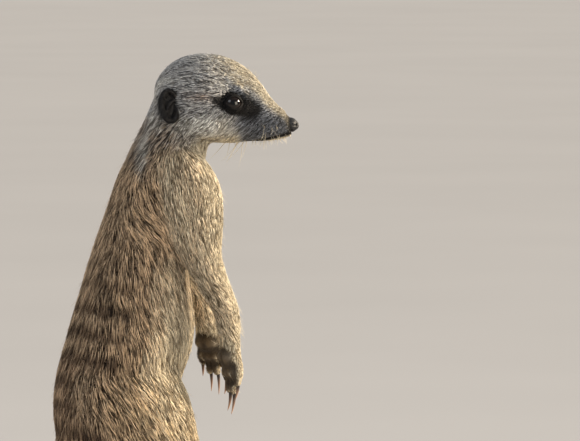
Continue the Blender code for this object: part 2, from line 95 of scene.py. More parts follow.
# Which coat piece holds the tufts of which parts.
COAT_PIECES = {
    "coat_head_left": ("grey_fur", "head", 1),
    "coat_head_right": ("grey_fur", "head", -1),
    "coat_neck": ("grey_fur", "neck", 0),
    "coat_chest": ("grey_fur", "chest", 0),
    "coat_belly": ("grey_fur", "belly", 0),
    "coat_rump": ("grey_fur", "rump", 0),
    "coat_arm_left": ("pale_fur", "upper_arm forearm hand", 1),
    "coat_arm_right": ("pale_fur", "upper_arm forearm hand", -1),
    "coat_leg_left": ("pale_fur", "thigh shank foot", 1),
    "coat_leg_right": ("pale_fur", "thigh shank foot", -1),
    "coat_tail": ("tan_fur", "tail_base tail_middle tail_tip", 0),
}

# Markings, in the order in which they cover each other: colour of a hair's root and of its tip.
BODY_FUR = ((0.028, 0.014, 0.006), (0.76, 0.555, 0.36))
MARKINGS = {
    "grey": ((0.055, 0.052, 0.050), (0.64, 0.625, 0.605)),
    "pale": ((0.27, 0.245, 0.20), (0.92, 0.90, 0.84)),
    "cream": ((0.36, 0.28, 0.17), (0.97, 0.87, 0.66)),
    "buff": ((0.12, 0.07, 0.03), (0.78, 0.58, 0.33)),
    "rust": ((0.06, 0.027, 0.012), (0.42, 0.26, 0.16)),
    "bars": ((0.02, 0.01, 0.005), (0.20, 0.13, 0.08)),
    "muzzle": ((0.018, 0.02, 0.024), (0.42, 0.44, 0.48)),
    "black": ((0.003, 0.003, 0.0033), (0.017, 0.015, 0.015)),
    "pad": ((0.022, 0.016, 0.011), (0.20, 0.155, 0.105)),
}

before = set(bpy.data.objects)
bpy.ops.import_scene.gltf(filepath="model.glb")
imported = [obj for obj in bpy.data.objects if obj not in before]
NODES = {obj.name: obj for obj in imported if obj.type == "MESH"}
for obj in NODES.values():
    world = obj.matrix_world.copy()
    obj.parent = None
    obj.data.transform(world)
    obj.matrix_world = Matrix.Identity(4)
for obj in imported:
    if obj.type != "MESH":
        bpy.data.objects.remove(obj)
cad_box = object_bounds()


# ---------------------------- places in the frame


def kind_of(node):
    """A node's name without its side and number."""
    return node.replace("_left", "").replace("_right", "").rstrip("_1234")


def side_of(node):
    """1 for the left, -1 for the right and 0 for the middle."""
    return next((sign for side, sign in SIDES.items() if side in node), 0)


def centre(*names):
    """The middle of the nodes whose names start so."""
    boxes = [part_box(node) for node in NODES if node.startswith(names)]
    return sum((low + high for low, high in boxes), Vector()) / (2 * len(boxes)) / MM


EYES = {side: centre("eye_" + side) for side in SIDES}
HEAD_ORIGIN = (EYES["left"] + EYES["right"]) / 2
HEAD_LEFT = (EYES["left"] - EYES["right"]).normalized()
HEAD_UP = Vector((0, 0, 1))
HEAD_FORWARD = HEAD_LEFT.cross(HEAD_UP)
HEAD_AXES = Matrix((HEAD_FORWARD, HEAD_LEFT, HEAD_UP)).transposed()


def head_point(forward, left, up):
    """A point given from the middle between the eyes, along the head's own axes."""
    return HEAD_ORIGIN + HEAD_AXES @ Vector((forward, left, up))


def head_coordinates(points):
    """How far points lie forward, aside and up from the middle between the eyes."""
    along = (points - np.array(HEAD_ORIGIN)) @ np.array(HEAD_AXES)
    return along[:, 0], along[:, 1], along[:, 2]


# ---------------------------- surfaces


def unit(vectors):
    """The vectors, each one long."""
    return vectors / np.maximum(np.linalg.norm(vectors, axis=1, keepdims=True), 1e-9)


def laid_flat(surface, ways):
    """The ways at a surface's corners, less what leads into or out of it."""
    return ways - surface.normals * (ways * surface.normals).sum(1, keepdims=True)


def ramp(values, low, high):
    """0 up to low and 1 from high, eased between."""
    t = np.clip((values - low) / (high - low), 0, 1)
    return t * t * (3 - 2 * t)


def bell(values, width):
    """1 where a value is 0, and fading each way over the width."""
    return np.exp(-((values / width) ** 2))


class Surface:
    """A closed surface of four-cornered faces, in millimetres."""

    def __init__(self, points, faces):
        self.points = points
        self.faces = faces
        ends = np.concatenate([faces[:, [i, (i + 1) % 4]] for i in range(4)])
        self.edges = np.unique(np.sort(ends, axis=1), axis=0)
        self.measure()

    def measure(self):
        """Works out the size of each face and the normal at each corner."""
        corners = self.points[self.faces]
        across = np.cross(corners[:, 2] - corners[:, 0], corners[:, 3] - corners[:, 1])
        self.areas = np.linalg.norm(across, axis=1) / 2
        at, count = self.faces.ravel(), len(self.points)
        sums = [np.bincount(at, np.repeat(column, 4), count) for column in across.T]
        self.normals = unit(np.stack(sums, axis=1))

    def averaged(self, values, rounds):
        """Values at the corners, each drawn half way to its neighbours' mean, some rounds over."""
        a, b = self.edges.T
        count = len(self.points)
        neighbours = np.bincount(a, minlength=count) + np.bincount(b, minlength=count)
        columns = values.reshape(count, -1).T.copy()
        for _ in range(rounds):
            for i, column in enumerate(columns):
                total = np.bincount(a, column[b], count) + np.bincount(b, column[a], count)
                columns[i] = column + 0.5 * (total / neighbours - column)
        return columns.T.reshape(values.shape)

    def smooth(self, rounds):
        self.points = self.averaged(self.points, rounds)
        self.measure()

    def move(self, shift):
        self.points = self.points + shift
        self.measure()

    def grow(self, height):
        """Moves the surface out along its normals."""
        self.move(self.normals * height[:, None])

    def ground(self):
        """The surface as a tree that finds its nearest point."""
        return BVHTree.FromPolygons(self.points.tolist(), self.faces.tolist())


def read_solid(bm):
    """The triangles of a bmesh, which it frees."""
    triangles = np.array([[v.index for v in f.verts] for f in bm.faces])
    bm.free()
    return triangles


def node_solid(node, puff=0.0, shift=(0, 0, 0)):
    """A node's points and triangles, grown by puff and moved by shift."""
    bm = bmesh.new()
    bm.from_mesh(NODES[node].data)
    bmesh.ops.remove_doubles(bm, verts=bm.verts, dist=1e-6)
    bmesh.ops.triangulate(bm, faces=bm.faces)
    bm.normal_update()
    points = np.array([v.co / MM + v.normal * puff for v in bm.verts]) + np.array(shift)
    return points, read_solid(bm)


def ball_solid(at, radii, axes=None, finely=2):
    """An egg-shaped ball as points and triangles."""
    bm = bmesh.new()
    bmesh.ops.create_icosphere(bm, subdivisions=finely, radius=1)
    turn = axes or Matrix.Identity(3)
    points = np.array([Vector(at) + turn @ Vector(v.co * Vector(radii)) for v in bm.verts])
    return points, read_solid(bm)


def stroke_solids(path, radii, steps):
    """Balls in a row along a smooth path, which fuse into one rounded ridge."""
    path, radii = np.array(path, float), np.array(radii, float)
    knots = np.linspace(0, 1, len(path))
    at = np.linspace(0, 1, steps)
    places = np.stack([np.interp(at, knots, column) for column in path.T], axis=1)
    sizes = np.interp(at, knots, radii)
    return [ball_solid(p, (r, r, r)) for p, r in zip(places, sizes)]


def placed(name, data):
    """A new object in the scene that shows the data."""
    made = bpy.data.objects.new(name, data)
    bpy.context.scene.collection.objects.link(made)
    return made


def joined(solids):
    """The points and triangles of all the solids, as one solid's."""
    starts = np.cumsum([0] + [len(points) for points, _ in solids])
    triangles = [t + start for (_, t), start in zip(solids, starts)]
    return np.concatenate([points for points, _ in solids]), np.concatenate(triangles)


def nearest(tree, points):
    """The places in a tree nearest to the points, with their normals and the faces' numbers."""
    found = [tree.find_nearest(p) for p in points]
    places, normals = (np.array([f[i][:] for f in found]) for i in (0, 1))
    return places, normals, np.array([f[2] for f in found])


def fused(solids, voxel, smoothing):
    """One closed surface round all the solids."""
    points, triangles = joined(solids)
    mesh = bpy.data.meshes.new("fusing")
    mesh.from_pydata(points.tolist(), [], triangles.tolist())
    made = placed("fusing", mesh)
    remesh = made.modifiers.new("fuse", "REMESH")
    remesh.mode = "VOXEL"
    remesh.voxel_size = voxel
    done = made.evaluated_get(bpy.context.evaluated_depsgraph_get()).to_mesh()
    co = np.zeros(len(done.vertices) * 3, np.float32)
    done.vertices.foreach_get("co", co)
    corners = np.zeros(len(done.loops), np.int32)
    done.loops.foreach_get("vertex_index", corners)
    made.to_mesh_clear()
    bpy.data.objects.remove(made)
    bpy.data.meshes.remove(mesh)
    surface = Surface(co.reshape(-1, 3).astype(float), corners.reshape(-1, 4).astype(int))
    surface.smooth(smoothing)
    return surface


def link_mesh(name, points, faces, look, slot, attributes=None):
    """Makes a piece of the object from points in millimetres; faces all have as many corners."""
    faces = np.asarray(faces)
    sides = faces.shape[1]
    mesh = bpy.data.meshes.new(name)
    mesh.vertices.add(len(points))
    mesh.vertices.foreach_set("co", (np.asarray(points) * MM).astype(np.float32).ravel())
    mesh.loops.add(faces.size)
    mesh.loops.foreach_set("vertex_index", faces.astype(np.int32).ravel())
    mesh.polygons.add(len(faces))
    mesh.polygons.foreach_set("loop_start", np.arange(0, faces.size, sides, dtype=np.int32))
    mesh.update(calc_edges=True)
    mesh.polygons.foreach_set("use_smooth", np.full(len(faces), True))
    for key, values in (attributes or {}).items():
        attribute = mesh.attributes.new(key, "FLOAT", "POINT")
        attribute.data.foreach_set("value", np.asarray(values, np.float32))
    mesh.materials.append(look)
    made = placed(name, mesh)
    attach(made, "root")
    return made


# ---------------------------- materials


class Graph:
    """Short ways to add and join the nodes of one material."""

    def __init__(self, name):
        self.material = bpy.data.materials.new(name)
        self.material.use_nodes = True
        self.tree = self.material.node_tree
        self.shader = self.tree.nodes["Principled BSDF"]

    def join(self, value, socket):
        """Sets a socket to a number or colour, or links it to another socket."""
        if isinstance(value, bpy.types.NodeSocket):
            self.tree.links.new(value, socket)
        elif socket.type == "RGBA":
            socket.default_value = (*value, 1)
        else:
            socket.default_value = value

    def add(self, kind, output, inputs, **settings):
        """Adds a node with its settings and inputs, and gives one of its outputs."""
        node = self.tree.nodes.new("ShaderNode" + kind)
        for key, setting in settings.items():
            setattr(node, key, setting)
        for key, value in inputs.items():
            self.join(value, node.inputs[key])
        return node.outputs[output]

    def value(self, name):
        return self.add("Attribute", "Fac", {}, attribute_name=name)

    def math(self, operation, a, b):
        return self.add("Math", 0, {0: a, 1: b}, operation=operation)

    def mix(self, share, a, b, blend="MIX"):
        inputs = {"Factor": share, "A": a, "B": b}
        return self.add("Mix", "Result", inputs, data_type="RGBA", blend_type=blend)

    def scaled(self, value, low, high, to_low, to_high):
        ends = {"From Min": low, "From Max": high, "To Min": to_low, "To Max": to_high}
        return self.add("MapRange", "Result", {"Value": value, **ends})

    def grey(self, value):
        return self.add("CombineColor", 0, {0: value, 1: value, 2: value})

    def noise(self, per_metre, detail=2.0, stretch=(1, 1, 1)):
        """Smooth noise with so many lumps in a metre, from 0 to 1."""
        place = self.add("TexCoord", "Object", {})
        place = self.add("Mapping", "Vector", {"Vector": place, "Scale": stretch})
        return self.add("TexNoise", "Fac", {"Vector": place, "Scale": per_metre, "Detail": detail})

    def bump(self, height, depth, strength):
        inputs = {"Height": height, "Distance": depth, "Strength": strength}
        self.join(self.add("Bump", "Normal", inputs), self.shader.inputs["Normal"])

    def finish(self, colour, roughness, **constants):
        self.join(colour, self.shader.inputs["Base Color"])
        self.join(roughness, self.shader.inputs["Roughness"])
        for key, number in constants.items():
            self.shader.inputs[key.replace("_", " ").title().replace("Ior", "IOR")].default_value = number
        return self.material


NOISE_ENDS = (0.3, 0.7)  # between which nearly all of a noise lies
FLECK_REACH = 0.95  # how far its fleck moves a hair between its root's colour and its tip's
FLECK_SHADES = (0.7, 1.25)
DRIFT_SHADES = (0.88, 1.12)  # slow change over the whole coat
TUFT_TONES = (0.12, 0.8)  # from a tuft's root to its tip


def fur_colour(graph, along):
    """The coat's colour from its markings, the place along the hair and the hair's own fleck."""
    root, tip = BODY_FUR
    for mark, (mark_root, mark_tip) in MARKINGS.items():
        share = graph.value(mark)
        root = graph.mix(share, root, mark_root)
        tip = graph.mix(share, tip, mark_tip)
    fleck = graph.value("fleck")
    lightness = graph.math("ADD", along, graph.scaled(fleck, 0, 1, -FLECK_REACH, FLECK_REACH))
    colour = graph.mix(graph.scaled(lightness, 0, 1, 0, 1), root, tip)
    shade = graph.scaled(fleck, 0, 1, *FLECK_SHADES)
    drift = graph.scaled(graph.noise(90, 3), *NOISE_ENDS, *DRIFT_SHADES)
    return graph.mix(1.0, colour, graph.grey(graph.math("MULTIPLY", shade, drift)), "MULTIPLY")


def coat_look():
    graph = Graph("coat")
    colour = fur_colour(graph, graph.scaled(graph.value("along"), 0, 1, *TUFT_TONES))
    roughness = graph.scaled(graph.value("fleck"), 0, 1, 0.52, 0.7)
    shine = {"specular_ior_level": 0.22, "sheen_weight": 0.05, "sheen_roughness": 0.4}
    return graph.finish(colour, roughness, **shine)


def skin_look():
    graph = Graph("skin")
    colour = fur_colour(graph, graph.value("along"))
    graph.bump(graph.noise(1600, 4), 0.0004, 0.7)
    return graph.finish(colour, graph.scaled(graph.noise(700), 0, 1, 0.6, 0.85), specular_ior_level=0.25)


# Bare hides: dark and light colour, roughness, grain in a metre and its depth in metres, specular.
HIDES = {
    "lid_hide": ((0.002, 0.002, 0.0024), (0.005, 0.0045, 0.0045), 0.66, 2200, 0.00012, 0.12),
    "nose_hide": ((0.004, 0.004, 0.004), (0.016, 0.015, 0.015), 0.46, 1500, 0.0005, 0.5),
    "ear_hide": ((0.004, 0.0035, 0.0035), (0.013, 0.011, 0.010), 0.6, 1800, 0.0003, 0.5),
}


def hide_look(name):
    """Bare leathery skin, mottled between two colours."""
    dark, light, roughness, grain, depth, specular = HIDES[name]
    graph = Graph(name)
    mottle = graph.scaled(graph.noise(260, 5), *NOISE_ENDS, 0, 1)
    graph.bump(graph.noise(grain, 3), depth, 0.8)
    rough = graph.scaled(graph.noise(500), *NOISE_ENDS, roughness - 0.1, roughness + 0.1)
    return graph.finish(graph.mix(mottle, dark, light), rough, specular_ior_level=specular)


HORN_COLOURS = ((0.02, 0.013, 0.01), (0.44, 0.26, 0.17))  # of a claw's root and point


def horn_look():
    """Streaked horn, from dark at the root to reddish at the point."""
    graph = Graph("horn")
    colour = graph.mix(graph.scaled(graph.value("along"), 0.25, 0.95, 0, 1), *HORN_COLOURS)
    streak = graph.scaled(graph.noise(900, 3, (1, 1, 0.15)), *NOISE_ENDS, 0.75, 1.25)
    graph.bump(graph.noise(1500, 2, (1, 1, 0.2)), 0.0001, 0.5)
    colour = graph.mix(1.0, colour, graph.grey(streak), "MULTIPLY")
    return graph.finish(colour, 0.32, specular_ior_level=0.5)


def eye_look():
    """A dark brown iris with a wide pupil, and a paler rim that the lids hide."""
    graph = Graph("eye")
    reach = graph.value("reach")
    iris = graph.mix(graph.noise(2600, 4), (0.004, 0.002, 0.0012), (0.012, 0.006, 0.0032))
    iris = graph.mix(graph.scaled(reach, 0.62, 0.78, 0, 1), iris, (0.006, 0.004, 0.003))
    ball = graph.mix(graph.scaled(reach, 0.80, 0.86, 0, 1), iris, (0.02, 0.014, 0.012))
    in_pupil = graph.scaled(graph.value("pupil"), 0.9, 1.06, 1, 0)
    return graph.finish(graph.mix(in_pupil, ball, (0.001, 0.001, 0.0012)), 0.045, specular_ior_level=0.36)


def bristle_look():
    graph = Graph("bristle")
    colour = graph.mix(graph.value("along"), (0.35, 0.29, 0.2), (0.85, 0.78, 0.62))
    return graph.finish(colour, graph.scaled(graph.noise(400), 0, 1, 0.4, 0.6), specular_ior_level=0.4)


# ---------------------------- skin


def flesh_nodes():
    return [n for n in NODES if kind_of(n) in COAT]


def labelled(points, nodes):
    """For each point, the number in nodes of the nearest node, and the height over its surface."""
    solids = [node_solid(node) for node in nodes]
    owners = np.repeat(np.arange(len(nodes)), [len(triangles) for _, triangles in solids])
    corners, triangles = joined(solids)
    tree = BVHTree.FromPolygons(corners.tolist(), triangles.tolist())
    places, normals, faces = nearest(tree, points)
    return owners[faces], ((points - places) * normals).sum(1)


def run_direction(node):
    """Which way the coat lies on a node: past it, from the part before to the part after."""
    kind, side = kind_of(node), {1: "_left", -1: "_right", 0: ""}[side_of(node)]
    run = next(run for run in RUNS if kind in run)
    at = run.index(kind)
    if kind == "head":
        return -HEAD_FORWARD
    before = centre(run[max(at - 1, 0)] + side)
    after = centre(run[min(at + 1, len(run) - 1)] + side)
    return (after - before).normalized()


ELBOW_IN = 5  # forward of a forearm's rearmost place


def elbow(side):
    """The point of the elbow, on which the coat of the chest and upper arm runs down."""
    low, high = (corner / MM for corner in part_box("forearm_" + side))
    return Vector((low.x + ELBOW_IN, (low.y + high.y) / 2, high.z))


FACE_DROP = 0.95  # share by which the coat runs down on the sides of the face
NAPE_DROP = 0.9
FLANK_FORWARD = 0.42  # share by which it runs forward on the flanks
FOREARM_FORWARD = 0.35
ELBOW_REACH = (30, 66)  # from an elbow, over which its pull on the coat fades
ELBOW_RISE = (4, 26)  # over an elbow, over which its pull begins


def run_to_elbows(skin, lie):
    """Turns the coat of the neck, chest and upper arms down on to the points of the elbows."""
    above = np.isin(skin.kinds, ("chest", "upper_arm", "neck"))
    for side, sign in SIDES.items():
        away = np.array(elbow(side)) - skin.points
        reach = np.linalg.norm(away, axis=1)
        pull = above * ramp(-away[:, 2], *ELBOW_RISE) * (1 - ramp(reach, *ELBOW_REACH))
        pull = pull * ramp(skin.points[:, 1] * sign, 5, 14)
        lie = lie * (1 - pull[:, None]) + unit(away) * pull[:, None]
    return lie


def lie_of_coat(skin, directions):
    """The direction in which the coat lies on the skin, eased from part to part."""
    f, _, u = head_coordinates(skin.points)
    drop = ramp(-u, -4, 12) * FACE_DROP + NAPE_DROP * ramp(-f, 32, 42) * ramp(-u, -10, 4)
    lie = directions - (drop * skin.on_head)[:, None] * np.array(HEAD_UP)
    trunk = np.isin(skin.kinds, ("chest", "belly", "rump", "thigh"))
    forward = FLANK_FORWARD * trunk * np.abs(skin.normals[:, 1])
    forward = forward + FOREARM_FORWARD * (skin.kinds == "forearm")
    lie = run_to_elbows(skin, lie + forward[:, None] * np.array((1, 0, 0)))
    lie = skin.averaged(lie, 60)
    for _ in range(3):
        lie = skin.averaged(unit(laid_flat(skin, lie)), 4)
    return unit(laid_flat(skin, lie))


EYE_OUT = 65  # degrees from the way the head faces
EYE_RISE = 0.17  # upward part of the way it looks


def eye_axis(side):
    """Where an eye looks: out and forward, and a little up."""
    out = math.radians(EYE_OUT)
    return (HEAD_AXES @ Vector((math.cos(out), SIDES[side] * math.sin(out), EYE_RISE))).normalized()


def from_eye(points, side):
    """The ways to points from an eye's middle, their lengths, and the cosines of their turns."""
    away = points - np.array(EYES[side])
    reach = np.linalg.norm(away, axis=1)
    return away, reach, (away @ np.array(eye_axis(side))) / reach


EYE_HOLLOW_EDGES = (74, 56)  # degrees from an eye's axis, between which the skin sinks behind it
EYE_HOLLOW_DEPTH = 1.2  # under the eyeball's surface
EYE_HOLLOW_REACH = 3.5  # over the eyeball's surface


def sink_under_eyes(skin):
    """Draws the skin in behind each eyeball, which it would otherwise cover."""
    outer, inner = (math.cos(math.radians(edge)) for edge in EYE_HOLLOW_EDGES)
    for side in SIDES:
        away, reach, turn = from_eye(skin.points, side)
        inside = ramp(turn, outer, inner)
        wanted = np.minimum(reach, EYE_RADIUS - EYE_HOLLOW_DEPTH)
        near = reach < EYE_RADIUS + EYE_HOLLOW_REACH
        share = np.where(near, inside, 0) * (1 - wanted / reach)
        skin.move(-away * share[:, None])


CLAW_ROOT = 1.0  # depth of the part of a claw that counts as its root


def digit_ends(limb):
    """Where a limb's claws leave its digits, in their order."""
    middle = np.array(centre(limb))
    ends = []
    for i in (1, 2, 3, 4):
        points, _ = node_solid(f"{limb[:4]}_claw{limb[4:]}_{i}")
        tip = points[np.argmax(np.linalg.norm(points - middle, axis=1))]
        reach = np.linalg.norm(points - tip, axis=1)
        ends.append(Vector(points[reach > reach.max() - CLAW_ROOT].mean(0)))
    return ends


def digit_gaps(limb):
    """The gaps between a limb's digits: middle of the gap, the way across it and the way forward."""
    ends = digit_ends(limb)
    forward = (sum(ends, Vector()) / 4 - centre(limb)).normalized()
    for a, b in zip(ends, ends[1:]):
        yield (a + b) / 2, (b - a - forward * (b - a).dot(forward)).normalized(), forward


def from_gap(points, gap):
    """How far points lie across a gap between digits, and how far back from the digits' ends."""
    middle, across, forward = gap
    away = points - np.array(middle)
    return away @ np.array(across), -(away @ np.array(forward))


DIGIT_PATH = (11, 5, 0.6)  # how far back from a digit's end its places lie
DIGIT_RADII = (2.9, 2.75, 2.6)
DIGIT_BALLS = 12
ANKLE_HEIGHT = 3.5  # of the lowest part of a shank, round the middle of which the ankle lies


def digit_solids(limb):
    """A rounded finger or toe behind each claw."""
    middle = centre(limb)
    solids = []
    for end in digit_ends(limb):
        back = (middle - end).normalized()
        solids += stroke_solids([end + back * reach for reach in DIGIT_PATH], DIGIT_RADII, DIGIT_BALLS)
    return solids


def ankle(side):
    """The middle of the lower end of a shank."""
    points, _ = node_solid("shank_" + side)
    low = points[points[:, 2] < points[:, 2].min() + ANKLE_HEIGHT]
    return Vector((low.min(0) + low.max(0)) / 2)


GAP_HALF_WIDTH = 0.75
GAP_REACH_AND_DEPTH = {"hand": (12, 1.6), "foot": (15, 1.7)}
LIMB_ENDS = ("hand_left", "hand_right", "foot_left", "foot_right")


def part_digits(skin):
    """Presses the gaps between the digits into hands and feet, deepest at their ends."""
    for limb in LIMB_ENDS:
        own = skin.labels == skin.nodes.index(limb)
        reach, depth = GAP_REACH_AND_DEPTH[limb[:4]]
        for gap in digit_gaps(limb):
            aside, back = from_gap(skin.points, gap)
            skin.grow(-depth * bell(aside, GAP_HALF_WIDTH) * (1 - ramp(back, 3, reach)) * own)


JOINT_ROUNDS = 50


def share_of(skin, kind, rounds):
    """How far each point belongs to a kind of part, from 0 to 1, eased where parts meet."""
    return skin.averaged((skin.kinds == kind).astype(float), rounds)


def ease_joints(skin):
    """Smooths the skin where parts of the legs and the tail meet."""
    seam = np.zeros(len(skin.points))
    for kind in ("foot", "shank", "tail_base"):
        share = share_of(skin, kind, JOINT_ROUNDS)
        seam = np.maximum(seam, 4 * share * (1 - share))
    eased = skin.averaged(skin.points, JOINT_ROUNDS)
    skin.move((eased - skin.points) * ramp(seam, 0.1, 0.7)[:, None])


# Pads of a palm: how far back from the ends of the digits, how far across, radius, height.
PALM_PADS = (
    (2.5, -6.2, 2.1, 0.9),
    (0.5, -2.1, 2.1, 0.9),
    (0.7, 2.1, 2.1, 0.9),
    (2.5, 6.2, 2.1, 0.9),
    (9.5, -4.4, 2.8, 2.3),
    (9.0, 0.0, 2.4, 1.9),
    (9.5, 4.4, 2.8, 2.3),
    (17.5, -3.6, 3.2, 2.3),
    (17.5, 3.4, 3.2, 2.2),
)
PAD_STEEPNESS = 1.4


def on_palm(skin, side):
    """Whether points are a hand's, and how far across it and back from its digits' ends they lie."""
    own = skin.labels == skin.nodes.index("hand_" + side)
    return own, *from_gap(skin.points, list(digit_gaps("hand_" + side))[1])


def raise_pads(skin):
    """Swells the pads of the palms, and notes where they are."""
    skin.swell = np.zeros(len(skin.points))
    for side in SIDES:
        own, aside, back = on_palm(skin, side)
        facing = ramp(skin.normals @ np.array(palm_direction(side)), 0.1, 0.6) * own
        for pad_back, pad_aside, radius, height in PALM_PADS:
            near = ((aside - pad_aside) ** 2 + (back - pad_back) ** 2) / radius**2
            lump = np.exp(-near * PAD_STEEPNESS) * facing
            skin.swell = np.maximum(skin.swell, lump)
            skin.grow(height * lump)


# The line of the mouth: how far forward of the eyes, and how high.
MOUTH_FORWARD = (4.0, 10.0, 16.0, 24.0, 30.5)
MOUTH_HEIGHT = (-19.4, -19.2, -18.4, -16.6, -14.6)
MOUTH_GROOVE = (0.9, 0.7)  # depth and half width
LOWER_LIP = (0.45, 0.9)  # height and half width
LIP_UNDER_LINE = 1.6


def groove_mouth(skin):
    """Presses the line of the mouth into the muzzle, and swells the lower lip."""
    f, _, u = head_coordinates(skin.points)
    line = np.interp(f, MOUTH_FORWARD, MOUTH_HEIGHT)
    ends = ramp(f, MOUTH_FORWARD[0] - 2, MOUTH_FORWARD[0] + 2) * skin.on_head
    (deep, groove_width), (high, lip_width) = MOUTH_GROOVE, LOWER_LIP
    groove = deep * bell(u - line, groove_width)
    lip = high * bell(u - line + LIP_UNDER_LINE, lip_width)
    skin.grow((lip - groove) * ends)


BRIDGE_END = (-2.8, 0, 1.7)  # middle of the mass that carries the bridge on to the nose
BRIDGE_RADII = (3.4, 3.6, 2.5)
BEHIND_EYE = 1.9  # how far behind an eyeball's middle the mass round it lies
BEHIND_EYE_RADII = (8.4, 6.8, 6.9)
EAR_ROOT_IN = 2.6  # how far into the head an ear's root reaches
HEEL_FROM_ANKLE = (-2.6, 0, -1.5)  # middle of the mass that rounds off the back of a heel
HEEL_RADII = (4.4, 5.5, 5.0)
SOLE_COAT = 0.1  # depth of the coat under a foot
SOLE_TOP = 2.5  # as high as a sole reaches over the floor
NOSE_PUFF = -0.2  # shrinks the frame's nose, so that the skin stays under the bare nose
NOSE_LESS = {"length": 0.62, "width": 0.4, "depth": 0.6}  # shares by which the coat shrinks there
LID_LESS = 0.45  # the same for its length round an eye
RIDGE_REACH = (-1.8, 0.8)  # under and over the frame, as far as the skin is brought back


def flesh_solids(nodes):
    """The frame's flesh, and the masses that round off its nose, digits, eyes, ears and heels."""
    solids = [node_solid(node, SKIN_PUFF) for node in nodes]
    solids.append(node_solid("nose", NOSE_PUFF))
    over_nose = centre("nose") + HEAD_AXES @ Vector(BRIDGE_END)
    solids.append(ball_solid(over_nose, BRIDGE_RADII, HEAD_AXES, 3))
    for limb in LIMB_ENDS:
        solids += digit_solids(limb)
    for side, sign in SIDES.items():
        behind_eye = EYES[side] - eye_axis(side) * BEHIND_EYE
        solids.append(ball_solid(behind_eye, BEHIND_EYE_RADII, HEAD_AXES, 3))
        solids.append(node_solid("ear_" + side, 0, -np.array(HEAD_LEFT) * sign * EAR_ROOT_IN))
        solids.append(ball_solid(ankle(side) + Vector(HEEL_FROM_ANKLE), HEEL_RADII))
    return solids


def plan_coat(skin, kinds):
    """The coat's depth over the skin and its tufts' length, width and cover, at every point."""
    fields = np.array([COAT[kind] for kind in kinds])[skin.labels]
    skin.depth, skin.length, skin.width, skin.cover = skin.averaged(fields, 60).T
    toward_nose = ramp(head_coordinates(skin.points)[0], -6, 30) * skin.on_head
    for field, less in NOSE_LESS.items():
        setattr(skin, field, getattr(skin, field) * (1 - less * toward_nose))
    for side in SIDES:
        reach = from_eye(skin.points, side)[1]
        skin.length = skin.length * (1 - LID_LESS * (1 - ramp(reach, 7, 11)))
    sole = (skin.normals[:, 2] < -0.5) & (skin.points[:, 2] < SOLE_TOP)
    skin.depth = np.where(sole, SOLE_COAT, skin.depth)


def sink_under_coat(skin, over):
    """Moves the skin in by the coat's depth; over is its height over the frame."""
    # Fusing rounds the head's ridges away, so there the skin is set by its height over the frame.
    near_eye = np.minimum(*(from_eye(skin.points, side)[1] for side in SIDES))
    ridges = skin.on_head * ramp(near_eye, 9, 12) * ramp(ear_distance(skin), 1.3, 1.6)
    over = SKIN_PUFF + (np.clip(over, *RIDGE_REACH) + HEAD_TRIM - SKIN_PUFF) * ridges
    inset = skin.averaged(skin.depth + over, 3)
    skin.move(-skin.averaged(skin.normals, 2) * inset[:, None])
    skin.smooth(2)


def make_skin():
    """The body's one skin, with its coat's depth, lie and markings at every point."""
    nodes = flesh_nodes()
    skin = fused(flesh_solids(nodes), SKIN_VOXEL, SKIN_SMOOTHING)
    skin.nodes = nodes
    skin.labels, over = labelled(skin.points, nodes)
    kinds = [kind_of(node) for node in nodes]
    skin.kinds = np.array(kinds)[skin.labels]
    skin.on_head = share_of(skin, "head", 6)
    plan_coat(skin, kinds)
    sink_under_coat(skin, over)
    for shape in (ease_joints, sink_under_eyes, groove_mouth, part_digits, raise_pads):
        shape(skin)
    skin.points[:, 2] = np.maximum(skin.points[:, 2], 0.0)
    skin.measure()
    directions = np.array([run_direction(node)[:] for node in nodes])
    skin.lie = lie_of_coat(skin, directions[skin.labels])
    skin.marks = markings(skin)
    return skin


# ---------------------------- markings


# The edges of the dark patch round an eye, from its rear to its front corner.
PATCH_FORWARD = (-7.6, -6.4, -3.5, 1.0, 6.0, 11.0, 15.0, 17.5)
PATCH_TOP = (2.6, 3.6, 4.4, 5.6, 6.0, 4.2, 1.0, -2.0)
PATCH_BOTTOM = (1.0, -0.6, -2.9, -4.9, -6.3, -7.2, -6.0, -4.0)
PATCH_SOFTNESS = (1.1, 3.5)  # of its edge, at the rear and at the front


def eye_patch(f, u):
    """The dark almond round an eye: f forward of the eye's middle and u above it."""
    top = np.interp(f, PATCH_FORWARD, PATCH_TOP)
    bottom = np.interp(f, PATCH_FORWARD, PATCH_BOTTOM)
    beyond = np.maximum(np.maximum(PATCH_FORWARD[0] - f, f - PATCH_FORWARD[-1]), 0)
    rear_soft, front_soft = PATCH_SOFTNESS
    soft = rear_soft + (front_soft - rear_soft) * ramp(f, 2, 12)
    return ramp((np.minimum(top - u, u - bottom) - beyond * 2) / soft, -0.6, 1.0)


def spot(a, b, middle, reach):
    """A soft round spot: 1 in its middle, and fading over its reach each way."""
    return bell(a - middle[0], reach[0]) * bell(b - middle[1], reach[1])


